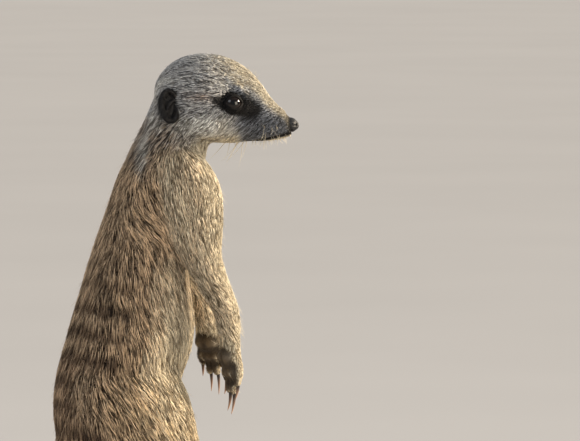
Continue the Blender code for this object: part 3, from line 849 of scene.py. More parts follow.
def face_areas(skin):
    """How far each point belongs to each area of the head, from 0 to 1. Some areas are painted light: the
    highlights of the forehead and bridge, and the shade under the eye patches.
    """
    f, s, u = head_coordinates(skin.points)
    aside, below = np.abs(s), -u
    ears = ear_distance(skin)
    line = np.interp(f, MOUTH_FORWARD, MOUTH_HEIGHT)
    upward = skin.normals @ np.array((HEAD_UP + HEAD_FORWARD).normalized())
    area = {
        "cheek": ramp(below, 2, 9) * (1 - ramp(f + 0.2 * u, -5, 2)),
        "brow": spot(f, u, (2, 8.6), (10, 2.6)) * ramp(aside, 4, 9),
        "over_ear": bell(ears - 1.35, 0.22) * (1 - ramp(f, -30, -24)) * ramp(u, -16, -8),
        "behind_ear": bell(f + 40.5 - 0.1 * u, 2.6) * ramp(below, 5, 11),
        "ear": 1 - ramp(ears, 0.7, 0.95),
        "before_ear": spot(f, u, (-22.5, -2), (2.6, 7)) * ramp(aside, 8, 14),
        "jaw": ramp(below, 12, 18) * (1 - 0.75 * ramp(f, 2, 12)),
        "chin": ramp(line - u, 0.2, 1.2) * ramp(f, 2, 8),
        # Painted highlight: the upward-facing forehead is made cream, as if the sun lit it.
        "forehead": ramp(f, -20, 6) * ramp(upward, 0.45, 0.85),
        # Partly the pale colour of the bridge, partly painted highlight: upward-facing fur of the head,
        # which loses the dark muzzle colour.
        "bridge": ramp(upward, 0.2, 0.6),
        "temple": spot(f, u, (-13.5, 4.2), (6.5, 2.6)),
        "muzzle": ramp(f + 0.2 * u, -1, 6),
        "mouth": bell(u - line, 0.8) * ramp(f, 4, 12),
        # Partly the muzzle's dark colour, partly painted shade: darkens the muzzle side below and ahead
        # of the eye patch.
        "under_patch": (0.42 * ramp(f, 3, 10) + 0.15 * ramp(f, 22, 28)) * ramp(below, 2, 8),
        "patch": eye_patch(f, u) * ramp(aside, 3, 7),
        "nose": ramp(f, 28, 31.5) * ramp(u - line, 0, 2),
    }
    area["behind_ear"] *= (1 - ramp(below, 24, 38)) * ramp(aside, 6, 12)
    return area


BAR_SPACING = 12.4  # between the dark bars across the back
BAR_WAVER = 7  # how wide a bar's wavering is


def markings(skin):
    """How much of each marking lies at each point of the skin, from 0 to 1, with the face's painted
    highlights and shade among them.
    """
    x, y, z = skin.points.T
    head = skin.averaged(skin.on_head, 24)
    part = {kind: share_of(skin, kind, 30) for kind in COAT}
    face = face_areas(skin)
    below = -head_coordinates(skin.points)[2]
    dorsal = unit(np.cross(np.array((0, 1, 0)), skin.lie))
    back = (skin.normals * dorsal).sum(1)
    front = skin.normals[:, 0]
    marks = {"grey": head + part["neck"] * 0.5 * ramp(z, 225, 250)}

    collar = ramp(x, 73, 81) * ramp(z, 239, 246) * ramp(below, 9, 14)
    throat = part["neck"] * ramp(front, 0.0, 0.5) + part["chest"] * ramp(front, 0.2, 0.7)
    marks["pale"] = head * np.maximum(0.95 * face["cheek"], 0.6 * face["brow"]) + throat
    marks["pale"] += 0.9 * face["over_ear"] + 0.5 * collar + 1.2 * face["behind_ear"]

    belly = part["belly"] * (1 - 0.5 * ramp(z, 135, 175)) + part["rump"]
    arm = (part["upper_arm"] + part["forearm"]) * (0.6 + 0.4 * ramp(front, -0.1, 0.7)) + part["hand"]
    leg = part["thigh"] * ramp(front, -0.3, 0.45) + part["shank"] + part["foot"]
    # Cream of the jaw and chin, with the painted highlight of the forehead.
    cream_and_highlight_face = np.clip(0.75 * face["jaw"] + face["chin"] + 0.75 * face["forehead"], 0, 1)
    body = belly * ramp(front, -0.15, 0.42) + 0.9 * arm + leg + 0.7 * throat
    marks["cream"] = body + head * cream_and_highlight_face

    low = (part["thigh"] + part["rump"] + part["belly"]) * (1 - ramp(z, 95, 175)) * ramp(front, -0.7, 0)
    tail_end = part["tail_middle"] + part["tail_tip"]
    marks["buff"] = part["tail_base"] * 0.7 + tail_end + 0.5 * low
    marks["rust"] = 0.5 * face["temple"] * head + 0.4 * part["rump"] * ramp(back, -0.2, 0.5)

    wave = np.sin(2 * math.pi * (z / BAR_SPACING + 0.1 * np.sin(y / BAR_WAVER)))
    trunk = part["neck"] + part["chest"] + part["belly"] + part["rump"]
    low_back = ramp(z, 60, 80) * (1 - ramp(z, 165, 205)) * ramp(back, 0.05, 0.6) * trunk
    neck = 0.35 * part["neck"] * (1 - ramp(front, -0.1, 0.3))
    marks["bars"] = 0.85 * ramp(wave, -0.2, 0.6) * low_back + neck

    # The pale chin, and the painted highlights of the forehead and bridge, take the dark muzzle colour
    # away.
    pale_chin_and_highlight = np.clip(face["chin"] + 0.75 * face["forehead"] + 0.5 * face["bridge"], 0, 1)
    marks["muzzle"] = head * face["muzzle"] * (1 - pale_chin_and_highlight)
    # The black also holds the painted shade below and ahead of the eye patches.
    black = face["patch"] + 0.8 * face["mouth"] + face["under_patch"] * (1 - face["chin"])
    black = black + face["ear"] + 0.35 * face["before_ear"] + 0.8 * face["nose"]
    marks["black"] = head * black + ramp(-x, 96, 108) * tail_end
    marks["pad"] = pads(skin)
    return {mark: np.clip(share, 0, 1) for mark, share in marks.items()}


EAR_SPAN = (6.6, 9.6)  # half an ear's length and height
EAR_SIDE = 8  # how far from the head's middle an ear is looked for
FAR_FROM_EARS = 9.0


def ear_distance(skin):
    """How far each point lies from the middle of an ear: 1 at its rim, seen from the side."""
    f, s, u = head_coordinates(skin.points)
    nearest = np.full(len(f), FAR_FROM_EARS)
    for side, sign in SIDES.items():
        ear_f, _, ear_u = head_coordinates(np.array([centre("ear_" + side)[:]]))
        reach = np.hypot((f - ear_f) / EAR_SPAN[0], (u - ear_u) / EAR_SPAN[1])
        nearest = np.where(s * sign > EAR_SIDE, np.minimum(nearest, reach), nearest)
    return nearest


def palm_direction(side):
    """Which way a palm faces: back to the body, and square to the row of its claws."""
    first, last = (centre(f"hand_claw_{side}_{i}") for i in (1, 4))
    across = last - first
    facing = Vector((across.y, -across.x, 0)).normalized()
    return facing if facing.x < 0 else -facing


WRIST = (22, 27)  # back from the digits' ends, between which the bare palm ends
WRIST_BOW = 0.08


def pads(skin):
    """The bare soles and palms."""
    bare = np.zeros(len(skin.points))
    soft = skin.averaged(skin.normals, 4)
    for side in SIDES:
        hand, aside, back = on_palm(skin, side)
        palm = ramp(soft @ np.array(palm_direction(side)), 0.3, 0.55)
        bare = np.where(hand, palm * (1 - ramp(back + WRIST_BOW * aside**2, *WRIST)), bare)
        foot = skin.labels == skin.nodes.index("foot_" + side)
        bare = np.where(foot, ramp(-soft[:, 2], 0.3, 0.6), bare)
    return skin.averaged(bare, 2)


# ---------------------------- coat


def scattered(surface, density, rng):
    """Places on the surface, so many for each square millimetre: face numbers and weights."""
    wanted = surface.areas * density[surface.faces].mean(1)
    counts = np.floor(wanted + rng.random(len(wanted))).astype(int)
    faces = np.repeat(np.arange(len(wanted)), counts)
    u, v = rng.random((2, len(faces)))
    return faces, np.stack([(1 - u) * (1 - v), u * (1 - v), u * v, (1 - u) * v], axis=1)


def dropped(surface, tree, points):
    """The nearest places on the surface, and the smooth normals there."""
    places, _, faces = nearest(tree, points)
    return places, unit(surface.normals[surface.faces[faces]].mean(1))


def furred(surface, lie, length, width, depth):
    """Gives a black surface all that its coat reads from it."""
    count = len(surface.points)
    surface.lie = unit(lie)
    surface.length, surface.width, surface.depth = (np.full(count, v) for v in (length, width, depth))
    surface.marks = {mark: np.full(count, float(mark == "black")) for mark in MARKINGS}


LOCK_STRETCH = 14.0  # how much longer than wide a lock's patch of roots is
LOCK_CHOICES = 12


def locks(roots, lie, every, rng):
    """The lock each tuft belongs to, as the number of its leading tuft. Locks run along the lie."""
    leaders = rng.permutation(len(roots))[: max(len(roots) // every, LOCK_CHOICES)]
    tree = KDTree(len(leaders))
    for i, leader in enumerate(leaders):
        tree.insert(roots[leader], i)
    tree.balance()
    near = np.array([[found[1] for found in tree.find_n(root, LOCK_CHOICES)] for root in roots])
    away = roots[leaders[near]] - roots[:, None]
    along = (away * lie[:, None]).sum(2)
    across = (away**2).sum(2) - along**2
    best = np.argmin(across + (along / LOCK_STRETCH) ** 2, axis=1)
    return leaders[near[np.arange(len(roots)), best]]


def drawn_together(tips, leading, lie, share):
    """Draws the tips of a lock's tufts sideways toward the leading tuft."""
    shift = tips[leading] - tips
    return tips + (shift - lie * (shift * lie).sum(1, keepdims=True)) * share


TUFT_FACES = np.array([(0, 2, 3), (0, 3, 1), (4, 3, 2), (4, 1, 3), (0, 1, 2), (4, 2, 1)])
TUFT_ALONG = np.array([0.0, 0.45, 0.45, 0.5, 1.0])
TUFT_MIDDLE = 0.42  # where a tuft is widest, as a share of its length
TUFT_MIDDLE_LIFT = 0.78  # how high that is, as a share of its tip's height
TUFT_RIDGE = 0.32  # height of its ridge there, as a share of its width
TUFT_ROOT_DEPTH = 0.35  # at most, under the skin
TUFT_LENGTHS = (0.55, 1.2)
TUFT_WIDTHS = (0.7, 1.2)
TUFT_UV = np.array([(0, -0.5), (-0.5, 0), (0.5, 0), (0, 0.1), (0, 0.5)])
TUFT_PATCH = 0.003
SWAY = 11  # degrees by which neighbouring tufts turn together
GUARD_SHARE = 0.08  # share of tufts that are long, pale and on top
GUARD_FLECK = 0.9
GUARD_LENGTH = 1.25
GUARD_LIFT = 1.06
PROUD_SHARE = 0.02  # share of tufts that stand out
PROUD_LIFT = 1.5
FLECK_MIDDLE = 0.48
LOCK_FLECK = 0.17  # spread of a lock's lightness
OWN_FLECK = 0.12  # spread of a tuft's lightness in its lock
LOCK_CHANCE = 0.65  # how far a lock's tufts share their markings
SPECKLE_SHARE = 0.45  # how far a marking's edge breaks up
SPECKLE_SPREAD = 0.8
FAINTEST_MARK = 0.02
LOWEST_TUFT = 0.15  # over the floor


class Coat:
    """Tufts over a surface: five corners each, with their roots' places and markings."""

    def __init__(self, surface, density, rng, clump=0.4, lock=6, turn=5.0):
        self.surface, self.rng = surface, rng
        self.faces, self.weights = scattered(surface, density, rng)
        self.count = len(self.faces)
        self.roots = self.read(surface.points)
        self.normals = unit(self.read(surface.normals))
        lie, length, guard = self.headings(turn)
        leading = locks(self.roots, lie, lock, rng)
        tips = drawn_together(self.roots + lie * length[:, None], leading, lie, clump)
        self.fleck = self.flecks(leading, guard)
        self.corners = self.shapes(tips, guard)
        self.marks = {mark: self.speckled(share, leading) for mark, share in surface.marks.items()}

    def read(self, values):
        """Values at the surface's corners, read at the tufts' roots."""
        picked = values[self.surface.faces[self.faces]]
        weights = self.weights.reshape(self.weights.shape + (1,) * (picked.ndim - 2))
        return (picked * weights).sum(1)

    def headings(self, turn):
        """Which way each tuft runs, how long it is, and whether it is a guard hair."""
        surface, rng = self.surface, self.rng
        lie = unit(self.read(surface.lie))
        sway = unit(self.read(surface.averaged(rng.normal(size=surface.points.shape), 14)))
        side = np.cross(self.normals, lie)
        angle = np.radians(rng.normal(0, turn, self.count) + SWAY * (sway * side).sum(1))
        lie = lie * np.cos(angle)[:, None] + side * np.sin(angle)[:, None]
        guard = rng.random(self.count) < GUARD_SHARE
        length = self.read(surface.length) * rng.uniform(*TUFT_LENGTHS, self.count)
        return lie, length * np.where(guard, GUARD_LENGTH, 1), guard

    def flecks(self, leading, guard):
        """How light each tuft is, from 0 to 1: by its lock and by itself, with pale guard hairs."""
        lock = LOCK_FLECK * self.rng.normal(0, 1, self.count)[leading]
        fleck = FLECK_MIDDLE + lock + OWN_FLECK * self.rng.normal(0, 1, self.count)
        return np.clip(np.where(guard, np.maximum(fleck, GUARD_FLECK), fleck), 0, 1)

    def shapes(self, tips, guard):
        """Each tuft's corners: its root, the two edges and the ridge of its middle, and its tip."""
        surface, rng = self.surface, self.rng
        width, depth = self.read(surface.width), self.read(surface.depth)
        tree = surface.ground()
        middles, up = dropped(surface, tree, self.roots + (tips - self.roots) * TUFT_MIDDLE)
        tips, tip_up = dropped(surface, tree, tips)
        lift = np.where(guard, GUARD_LIFT, 1 - 0.5 * rng.random(self.count) ** 2)
        proud = np.where(rng.random(self.count) < PROUD_SHARE, PROUD_LIFT, 0.0) * rng.random(self.count)
        middles = middles + up * (depth * lift * TUFT_MIDDLE_LIFT)[:, None]
        tips = tips + tip_up * (depth * (lift + proud))[:, None]
        across = unit(np.cross(up, tips - self.roots)) * (width / 2)[:, None]
        across = across * rng.uniform(*TUFT_WIDTHS, self.count)[:, None]
        ridge = middles + up * (width * TUFT_RIDGE)[:, None]
        deep = self.roots - self.normals * np.minimum(TUFT_ROOT_DEPTH, depth * 0.5)[:, None]
        return np.stack([deep, middles + across, middles - across, ridge, tips], axis=1)

    def speckled(self, share, leading):
        """A marking whose edge breaks up into locks and single tufts."""
        share = self.read(share)
        chance = self.rng.random(self.count)
        chance = LOCK_CHANCE * chance[leading] + (1 - LOCK_CHANCE) * chance
        single = ramp(share + (chance - 0.5) * SPECKLE_SPREAD, 0.25, 0.75)
        mixed = (1 - SPECKLE_SHARE) * share + SPECKLE_SHARE * single
        return np.clip(mixed, 0, 1) * (share > FAINTEST_MARK)

    def piece(self, name, chosen, chart, look, slot):
        """Makes one coat piece from the chosen tufts."""
        corners = self.corners[chosen]
        count = len(corners)
        corners[:, :, 2] = np.maximum(corners[:, :, 2], LOWEST_TUFT)
        faces = (np.arange(count) * 5)[:, None, None] + TUFT_FACES
        attributes = {mark: np.repeat(values[chosen], 5) for mark, values in self.marks.items()}
        attributes["along"] = np.tile(TUFT_ALONG, count)
        attributes["fleck"] = np.repeat(self.fleck[chosen], 5)
        made = link_mesh(name, corners.reshape(-1, 3), faces.reshape(-1, 3), look, slot, attributes)
        spread = (chart[:, None] * (1 - 2 * TUFT_PATCH) + TUFT_PATCH) + TUFT_UV * TUFT_PATCH
        uv = made.data.uv_layers.new(name="OFBake")
        uv.uv.foreach_set("vector", spread[:, TUFT_FACES].astype(np.float32).ravel())


def unwrapped(points, along, around, cell, cells):
    """Where points lie on a tube-like part that is slit open: in one of several upright strips."""
    along, around = Vector(along).normalized(), Vector(around)
    outward = (around - along * around.dot(along)).normalized()
    aside = along.cross(outward)
    middle = (points.min(0) + points.max(0)) / 2
    away = points - middle
    angle = np.arctan2(away @ np.array(aside), away @ np.array(outward)) / (2 * math.pi) + 0.5
    height = away @ np.array(along)
    height = (height - height.min()) / np.ptp(height)
    return np.stack([(cell + angle) / cells, height], axis=1)


BARE_EYE = 66  # degrees from an eye's axis
BARE_EYE_REACH = 2.5  # over the eyeball's surface
BARE_SOLE = (1.2, -0.4)  # below this height and this upward part of the normal


def coat_density(skin):
    """How many tufts grow on a square millimetre of skin: none on eyes, pads and soles."""
    density = skin.cover / (skin.length * skin.width)
    density = density * (1 - ramp(skin.marks["pad"], 0.25, 0.75))
    bare = (skin.points[:, 2] < BARE_SOLE[0]) & (skin.normals[:, 2] < BARE_SOLE[1])
    for side in SIDES:
        _, reach, turn = from_eye(skin.points, side)
        bare |= (reach < EYE_RADIUS + BARE_EYE_REACH) & (turn > math.cos(math.radians(BARE_EYE)))
    return np.where(bare, 0, density)


def make_coat(skin, look, rng):
    """The body's coat, a piece for each part or limb."""
    coat = Coat(skin, coat_density(skin), rng)
    of_tuft = skin.kinds[skin.faces[coat.faces, 0]]
    for name, (slot, kinds, side) in COAT_PIECES.items():
        kinds = kinds.split()
        across = head_coordinates(coat.roots)[1] if "head" in kinds else coat.roots[:, 1]
        chosen = np.isin(of_tuft, kinds) & ((side == 0) | (across * side > 0))
        chart = np.zeros((chosen.sum(), 2))
        for cell, kind in enumerate(kinds):
            of_kind = of_tuft[chosen] == kind
            node = kind if kind in NODES else kind + ("_left" if side > 0 else "_right")
            away = HEAD_UP if kind in ("head", "foot") or "tail" in kind else Vector((-1, 0, 0))
            points = coat.roots[chosen][of_kind]
            chart[of_kind] = unwrapped(points, run_direction(node), away, cell, len(kinds))
        coat.piece(name, np.flatnonzero(chosen), chart, look, slot)


# ---------------------------- eyes and lids


EYE_BALL_FINENESS = 5
CORNEA_RISE = 0.045  # share by which the front of an eyeball bulges
CORNEA_EDGES = (0.72, 1.0)  # cosines of the turn from the eye's axis
IRIS_REACH = 50  # degrees from the eye's axis that the look counts as 1
PUPIL = (0.40, 0.27)  # half its width and half its height, as shares of the eye's radius


def make_eyes(look, lid_look, coat, skin, rng):
    """The eyeballs, their lids and the lids' short hair."""
    tree = skin.ground()
    for side in SIDES:
        axis = eye_axis(side)
        turn = axis.to_track_quat("Z", "Y").to_matrix()
        points, triangles = ball_solid((0, 0, 0), (1, 1, 1), finely=EYE_BALL_FINENESS)
        ahead = points[:, 2]
        cornea = 1 + CORNEA_RISE * ramp(ahead, *CORNEA_EDGES)
        turned = points @ np.array(turn).T
        places = turned * (EYE_RADIUS * cornea)[:, None] + np.array(EYES[side])
        pupil = [(turned @ np.array(way)) / half for way, half in zip(eye_level(side), PUPIL)]
        shown = {
            "reach": np.degrees(np.arccos(np.clip(ahead, -1, 1))) / IRIS_REACH,
            "pupil": np.hypot(*pupil) + 10 * (ahead < 0),
        }
        eye = link_mesh("eyeball_" + side, places, triangles, look, "eye_brown", shown)
        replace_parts(eye, "eye_" + side)
        lids = make_lids(side, tree, lid_look)
        hair = Coat(lids, lids.density, rng, clump=0.2, turn=14)
        chart = unwrapped(hair.roots, axis, HEAD_UP, 0, 1)
        hair.piece("coat_lids_" + side, np.arange(hair.count), chart, coat, "black_hide")


def eye_level(side):
    """The ways forward and up across the front of an eye."""
    axis = eye_axis(side)
    up = (HEAD_UP - axis * HEAD_UP.dot(axis)).normalized()
    fore = up.cross(axis)
    return (fore if fore.dot(HEAD_FORWARD) > 0 else -fore), up


LID_STEPS = 96
LID_OPENING = {"front": 46, "rear": 50, "top": 31, "bottom": 28}  # degrees from the eye's axis
LID_REACH = (84, 76)  # degrees, along and across
# Rings of a lid: share of the way from its edge to its outer rim, and height over the eyeball.
LID_RINGS = (
    (0.16, -1.0),
    (0.02, -0.7),
    (0.0, 0.12),
    (0.01, 0.33),
    (0.04, 0.52),
    (0.09, 0.66),
    (0.16, 0.70),
    (0.24, 0.66),
    (0.32, 0.56),
    (0.40, 0.40),
    (0.46, 0.34),
    (0.52, 0.42),
    (0.62, 0.5),
    (0.74, 0.45),
    (0.87, 0.3),
    (1.0, 0.0),
    (1.0, -1.2),
)
LID_BURIED = 0.74  # share from which a lid follows the skin
LID_CORNERS = 1.9  # power that shapes the lids' pointed corners
LID_BEDDED = 0.25  # how deep it lies in the skin there
LID_LOOKOUT = 14  # from how far out the skin is looked for
LID_HAIR = 7.0  # tufts on a square millimetre
LID_TUFT = (1.5, 0.2, 0.22)  # length, width and depth


def lid_place(share, step):
    """How far forward and up from the eye's axis a point of the lids lies, in degrees."""
    a = 2 * math.pi * step / LID_STEPS
    x, y = math.cos(a), math.sin(a)
    wide = LID_OPENING["front" if x > 0 else "rear"] * x
    tall = LID_OPENING["top" if y > 0 else "bottom"] * (1 - abs(x) ** LID_CORNERS)
    tall = tall if y > 0 else -tall
    return wide + (LID_REACH[0] * x - wide) * share, tall + (LID_REACH[1] * y - tall) * share


def make_lids(side, tree, look):
    """The rim round an eye: two lids that meet at pointed corners and run out into the skin."""
    axis, middle = eye_axis(side), EYES[side]
    fore, up = eye_level(side)
    points, density, lie = [], [], []
    for share, height in LID_RINGS:
        blend = float(ramp(share, 0.3, LID_BURIED))
        furry = float(ramp(share, 0.12, 0.34)) * (height > 0)
        for step in range(LID_STEPS):
            along, over = lid_place(share, step)
            turn = math.radians(math.hypot(along, over))
            away = (fore * along + up * over).normalized()
            heading = axis * math.cos(turn) + away * math.sin(turn)
            hit = tree.ray_cast(middle + heading * LID_LOOKOUT, -heading, LID_LOOKOUT)[0]
            ground = (hit - middle).length - LID_BEDDED if hit else EYE_RADIUS
            level = EYE_RADIUS * (1 - blend) + max(ground, EYE_RADIUS - 0.2) * blend + height
            points.append((middle + heading * level)[:])
            density.append(LID_HAIR * furry)
            lie.append((away * math.cos(turn) - axis * math.sin(turn) - HEAD_FORWARD * 0.5)[:])
    points = np.array(points)
    lids = Surface(points, outward(points, ring_faces(len(LID_RINGS), LID_STEPS)))
    link_mesh("lids_" + side, lids.points, lids.faces, look, "black_hide")
    furred(lids, np.array(lie), *LID_TUFT)
    lids.density = np.array(density)
    return lids


def ring_faces(count, steps):
    """Four-cornered faces between rings of points, which close into a torus."""
    ring, step = (grid.ravel() for grid in np.meshgrid(np.arange(count), np.arange(steps), indexing="ij"))
    next_ring, next_step = (ring + 1) % count, (step + 1) % steps
    corners = ((ring, step), (ring, next_step), (next_ring, next_step), (next_ring, step))
    return np.stack([r * steps + s for r, s in corners], axis=1)


def outward(points, faces):
    """The faces, turned round if the closed surface is inside out."""
    corners = points[faces] - points.mean(0)
    volume = np.einsum("ij,ij->", corners[:, 0], np.cross(corners[:, 1], corners[:, 2]))
    if faces.shape[1] == 4:
        volume += np.einsum("ij,ij->", corners[:, 0], np.cross(corners[:, 2], corners[:, 3]))
    return faces if volume > 0 else faces[:, ::-1]


# ---------------------------- nose, ears, claws


# Lumps that make up the nose: middle forward, aside and up from the node's own, and radii.
NOSE_LUMPS = (
    ((-1.2, 0.0, 0.3), (3.6, 3.6, 2.5)),
    ((-0.4, 2.5, -0.7), (2.9, 2.1, 2.5)),
    ((0.8, 0.0, -1.3), (2.9, 2.6, 2.8)),
    ((0.2, 0.0, -3.3), (1.9, 1.3, 1.5)),
)


NOSE_VOXEL = 0.22
NOSE_SPLIT = (0.5, 0.3)  # depth and half width
# Nostrils: depth, middle forward, aside and up, and reach each way. The second is the comma's tail.
NOSTRILS = (
    (1.5, (2.2, 1.9, -0.7), (1.0, 0.75, 0.75)),
    (0.8, (1.1, 3.2, -1.25), (1.0, 1.1, 0.4)),
)


def nose_dents(along):
    """How deep the split and the nostrils are at points given forward, left and up."""
    f, s, u = along.T
    deep, wide = NOSE_SPLIT
    dents = deep * bell(s, wide) * ramp(f, 0.2, 2.2) * ramp(-u, -1.2, 1.2)
    for depth, middle, reach in NOSTRILS:
        for sign in SIDES.values():
            dents += depth * bell(along * (1, sign, 1) - middle, reach).prod(1)
    return dents


def make_nose(look):
    """The bare nose: a broad pad with a wing and a comma nostril a side, split down its middle."""
    middle = centre("nose")
    solids = []
    for (forward, aside, above), radii in NOSE_LUMPS:
        for sign in (1, -1) if aside else (1,):
            at = middle + HEAD_AXES @ Vector((forward, aside * sign, above))
            solids.append(ball_solid(at, radii, HEAD_AXES, 3))
    nose = fused(solids, NOSE_VOXEL, 5)
    along = (nose.points - np.array(middle)) @ np.array(HEAD_AXES)
    nose.grow(-nose_dents(along))
    piece = link_mesh("nose_pad", nose.points, nose.faces, look, "black_hide")
    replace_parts(piece, "nose")


EAR_TURN = 20  # degrees that the open side turns forward
EAR_LEAN = 8  # degrees that the top leans back
EAR_RIM_HALF_WIDTH = 4.3
EAR_RIM_OUT = 0.9
EAR_RIM_INSET = 1.7  # from the top and bottom of the frame's ear
EAR_RIM_ENDS = (35, 335)  # degrees round the ear, where its front is open
EAR_RIM_PLACES = 26
EAR_RIM_BALLS = 70
EAR_RIM_RADIUS = 1.15
EAR_RIM_SWELL = 0.25  # how much thicker and thinner it becomes round the ear
EAR_DISH = ((-0.6, -1.2, 0), (5.0, 1.5))  # middle, and radii forward and out
EAR_DISH_INSET = 1.4
# The ridge inside an ear and the flap before its opening: places forward, out and up from the
# ear's middle, their radii, and how many balls.
EAR_STROKES = (
    (
        ((-2.2, 0.1, -4.6), (-1.6, 0.5, -1.5), (0.2, 0.6, 1.2), (2.8, 0.7, 2.6)),
        (0.7, 0.95, 0.95, 0.7),
        22,
    ),
    (((3.6, 0.6, -1.0), (3.4, 0.9, -3.4), (2.2, 0.6, -5.6)), (0.8, 1.35, 1.0), 14),
)
EAR_VOXEL = 0.32
EAR_HAIR = 6.0  # tufts on a square millimetre of the side that faces out
EAR_TUFT = (2.6, 0.2, 0.38)  # length, width and depth


def ear_axes(side):
    """An ear's own ways forward, left and up."""
    turn = Matrix.Rotation(math.radians(-EAR_TURN * SIDES[side]), 3, "Z")
    return HEAD_AXES @ turn @ Matrix.Rotation(math.radians(-EAR_LEAN), 3, "Y")


def ear_solids(side):
    """The balls that fuse into an ear: a rim, a dish behind it, a ridge and a flap."""
    axes, middle = ear_axes(side), centre("ear_" + side)
    low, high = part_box("ear_" + side)
    tall = (high.z - low.z) / MM / 2

    def at(forward, out, up):
        return middle + axes @ Vector((forward, out * SIDES[side], up))

    angles = np.radians(np.linspace(*EAR_RIM_ENDS, EAR_RIM_PLACES))
    tall_rim = tall - EAR_RIM_INSET
    rim = [at(EAR_RIM_HALF_WIDTH * math.cos(a), EAR_RIM_OUT, tall_rim * math.sin(a)) for a in angles]
    solids = stroke_solids(rim, EAR_RIM_RADIUS + EAR_RIM_SWELL * np.cos(angles + 2.6), EAR_RIM_BALLS)
    place, radii = EAR_DISH
    solids.append(ball_solid(at(*place), (*radii, tall - EAR_DISH_INSET), axes, 3))
    for path, radii, balls in EAR_STROKES:
        solids += stroke_solids([at(*place) for place in path], radii, balls)
    return solids


def make_ear(side, look, coat, rng):
    """A low round ear with a ridge inside it, a flap before its opening, and short black hair."""
    ear = fused(ear_solids(side), EAR_VOXEL, 4)
    piece = link_mesh("ear_shell_" + side, ear.points, ear.faces, look, "black_hide")
    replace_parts(piece, "ear_" + side)
    away = ear.points - np.array(centre("ear_" + side))
    out = np.array(ear_axes(side) @ Vector((0, SIDES[side], 0)))
    furred(ear, laid_flat(ear, unit(away - np.array(HEAD_FORWARD) * 5)), *EAR_TUFT)
    density = EAR_HAIR * (0.35 + 0.65 * ramp(away @ out, -0.2, 1.4))
    fringe = Coat(ear, density, rng, clump=0.15, turn=16)
    chart = unwrapped(fringe.roots, HEAD_UP, -HEAD_FORWARD, 0, 1)
    fringe.piece("coat_ear_" + side, np.arange(fringe.count), chart, coat, "black_hide")


def ring(at, across, over, radii, sides):
    """Points round a place on a horn or a hair."""
    turns = [2 * math.pi * k / sides for k in range(sides)]
    wide, deep = radii
    return [(at + across * (math.cos(a) * wide) + over * (math.sin(a) * deep))[:] for a in turns]


def horn_faces(sides, joints):
    """The triangles of a closed horn: rings of points from its root, then its point."""
    faces = [(0, k + 1, k) for k in range(1, sides - 1)]
    for i in range(joints - 1):
        for k in range(sides):
            a, b = i * sides + k, i * sides + (k + 1) % sides
            faces += [(a, b, b + sides), (a, b + sides, a + sides)]
    last = (joints - 1) * sides
    faces += [(last + k, last + (k + 1) % sides, joints * sides) for k in range(sides)]
    return np.array(faces)


def horn_shares(sides, joints):
    """How far along a horn each of its points lies, from 0 to 1."""
    return [i / joints for i in range(joints) for _ in range(sides)] + [1.0]


CLAW_RINGS = 14
CLAW_SIDES = 12
CLAW_RADII = (0.95, 1.2)  # at the root: across the claw, and in the plane of its curve
CLAW_TAPER = 0.7
CLAW_BURIED = 1.5  # how far its root reaches into the digit
CLAW_BANDS = (0.94, 0.5)  # shares of a frame's claw, back from its point, where it is measured
CLAW_BAND_HALF_WIDTH = 0.06


def spread_over(points, triangles, steps=8):
    """Points spread over the triangles."""
    a, b = (grid.ravel() for grid in np.meshgrid(np.linspace(0, 1, steps), np.linspace(0, 1, steps)))
    inside = a + b < 1.001
    a, b = a[inside][:, None], b[inside][:, None]
    corners = points[triangles][:, None]
    return (corners[:, :, 0] * (1 - a - b) + corners[:, :, 1] * a + corners[:, :, 2] * b).reshape(-1, 3)


def claw_line(node):
    """The root of a claw of the frame, the middle of its length and its point."""
    places = spread_over(*node_solid(node))
    limb = np.array(centre(node.rsplit("_", 1)[0].replace("_claw", "")))
    tip = places[np.linalg.norm(places - limb, axis=1).argmax()]
    away = np.linalg.norm(places - tip, axis=1)
    share = away / away.max()
    bands = [places[np.abs(share - wanted) < CLAW_BAND_HALF_WIDTH] for wanted in CLAW_BANDS]
    root, middle = (Vector((band.min(0) + band.max(0)) / 2) for band in bands)
    return root, middle, Vector(tip)


def claw_points(node):
    """The rings of a claw's horn along the smooth curve that its three places give, and its point."""
    root, middle, tip = claw_line(node)
    arch = middle - (root + tip) / 2
    root = root + (root - middle).normalized() * CLAW_BURIED
    bend = 2 * middle - (root + tip) / 2
    points = []
    for i in range(CLAW_RINGS):
        t = i / CLAW_RINGS
        at = root * (1 - t) ** 2 + bend * (2 * t * (1 - t)) + tip * t**2
        heading = ((bend - root) * (1 - t) + (tip - bend) * t).normalized()
        across = heading.cross(arch).normalized()
        radii = [radius * (1 - t) ** CLAW_TAPER for radius in CLAW_RADII]
        points += ring(at, across, across.cross(heading), radii, CLAW_SIDES)
    return np.array([*points, tip[:]])


def make_claws(look):
    """Each claw of the frame as a smooth flattened horn that curves to a point."""
    along = {"along": horn_shares(CLAW_SIDES, CLAW_RINGS)}
    for node in [n for n in NODES if "claw" in n]:
        points = claw_points(node)
        faces = outward(points, horn_faces(CLAW_SIDES, CLAW_RINGS))
        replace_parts(link_mesh("horn_" + node, points, faces, look, "horn", along), node)


# ---------------------------- bristles


BRISTLE_SIDES = 3
BRISTLE_JOINTS = 6
BRISTLE_BURIED = 0.3
BRISTLE_SCATTER = (3.0, 1.2, 1.2)  # round a group's place
BRISTLE_TURN = 0.22  # round a group's heading
FRONT_OUT = 6  # how far before the body a front bristle's place is looked for
FRONT_HEADING = (0.7, 0, -0.75)
FRONT_SAG = (0, 0, -0.4)
FRONT_RADIUS = 0.1


def bristle(root, heading, sag, length, radius):
    """One curved hair that narrows to a point, as rings of points and the point."""
    points, at = [], Vector(root)
    heading = Vector(heading).normalized()
    for i in range(BRISTLE_JOINTS):
        across = heading.orthogonal().normalized()
        thin = radius * (1 - (i / BRISTLE_JOINTS) ** 1.5)
        points += ring(at, across, heading.cross(across), (thin, thin), BRISTLE_SIDES)
        at = at + heading * (length / BRISTLE_JOINTS)
        heading = (heading + Vector(sag) / BRISTLE_JOINTS).normalized()
    return [*points, at[:]]


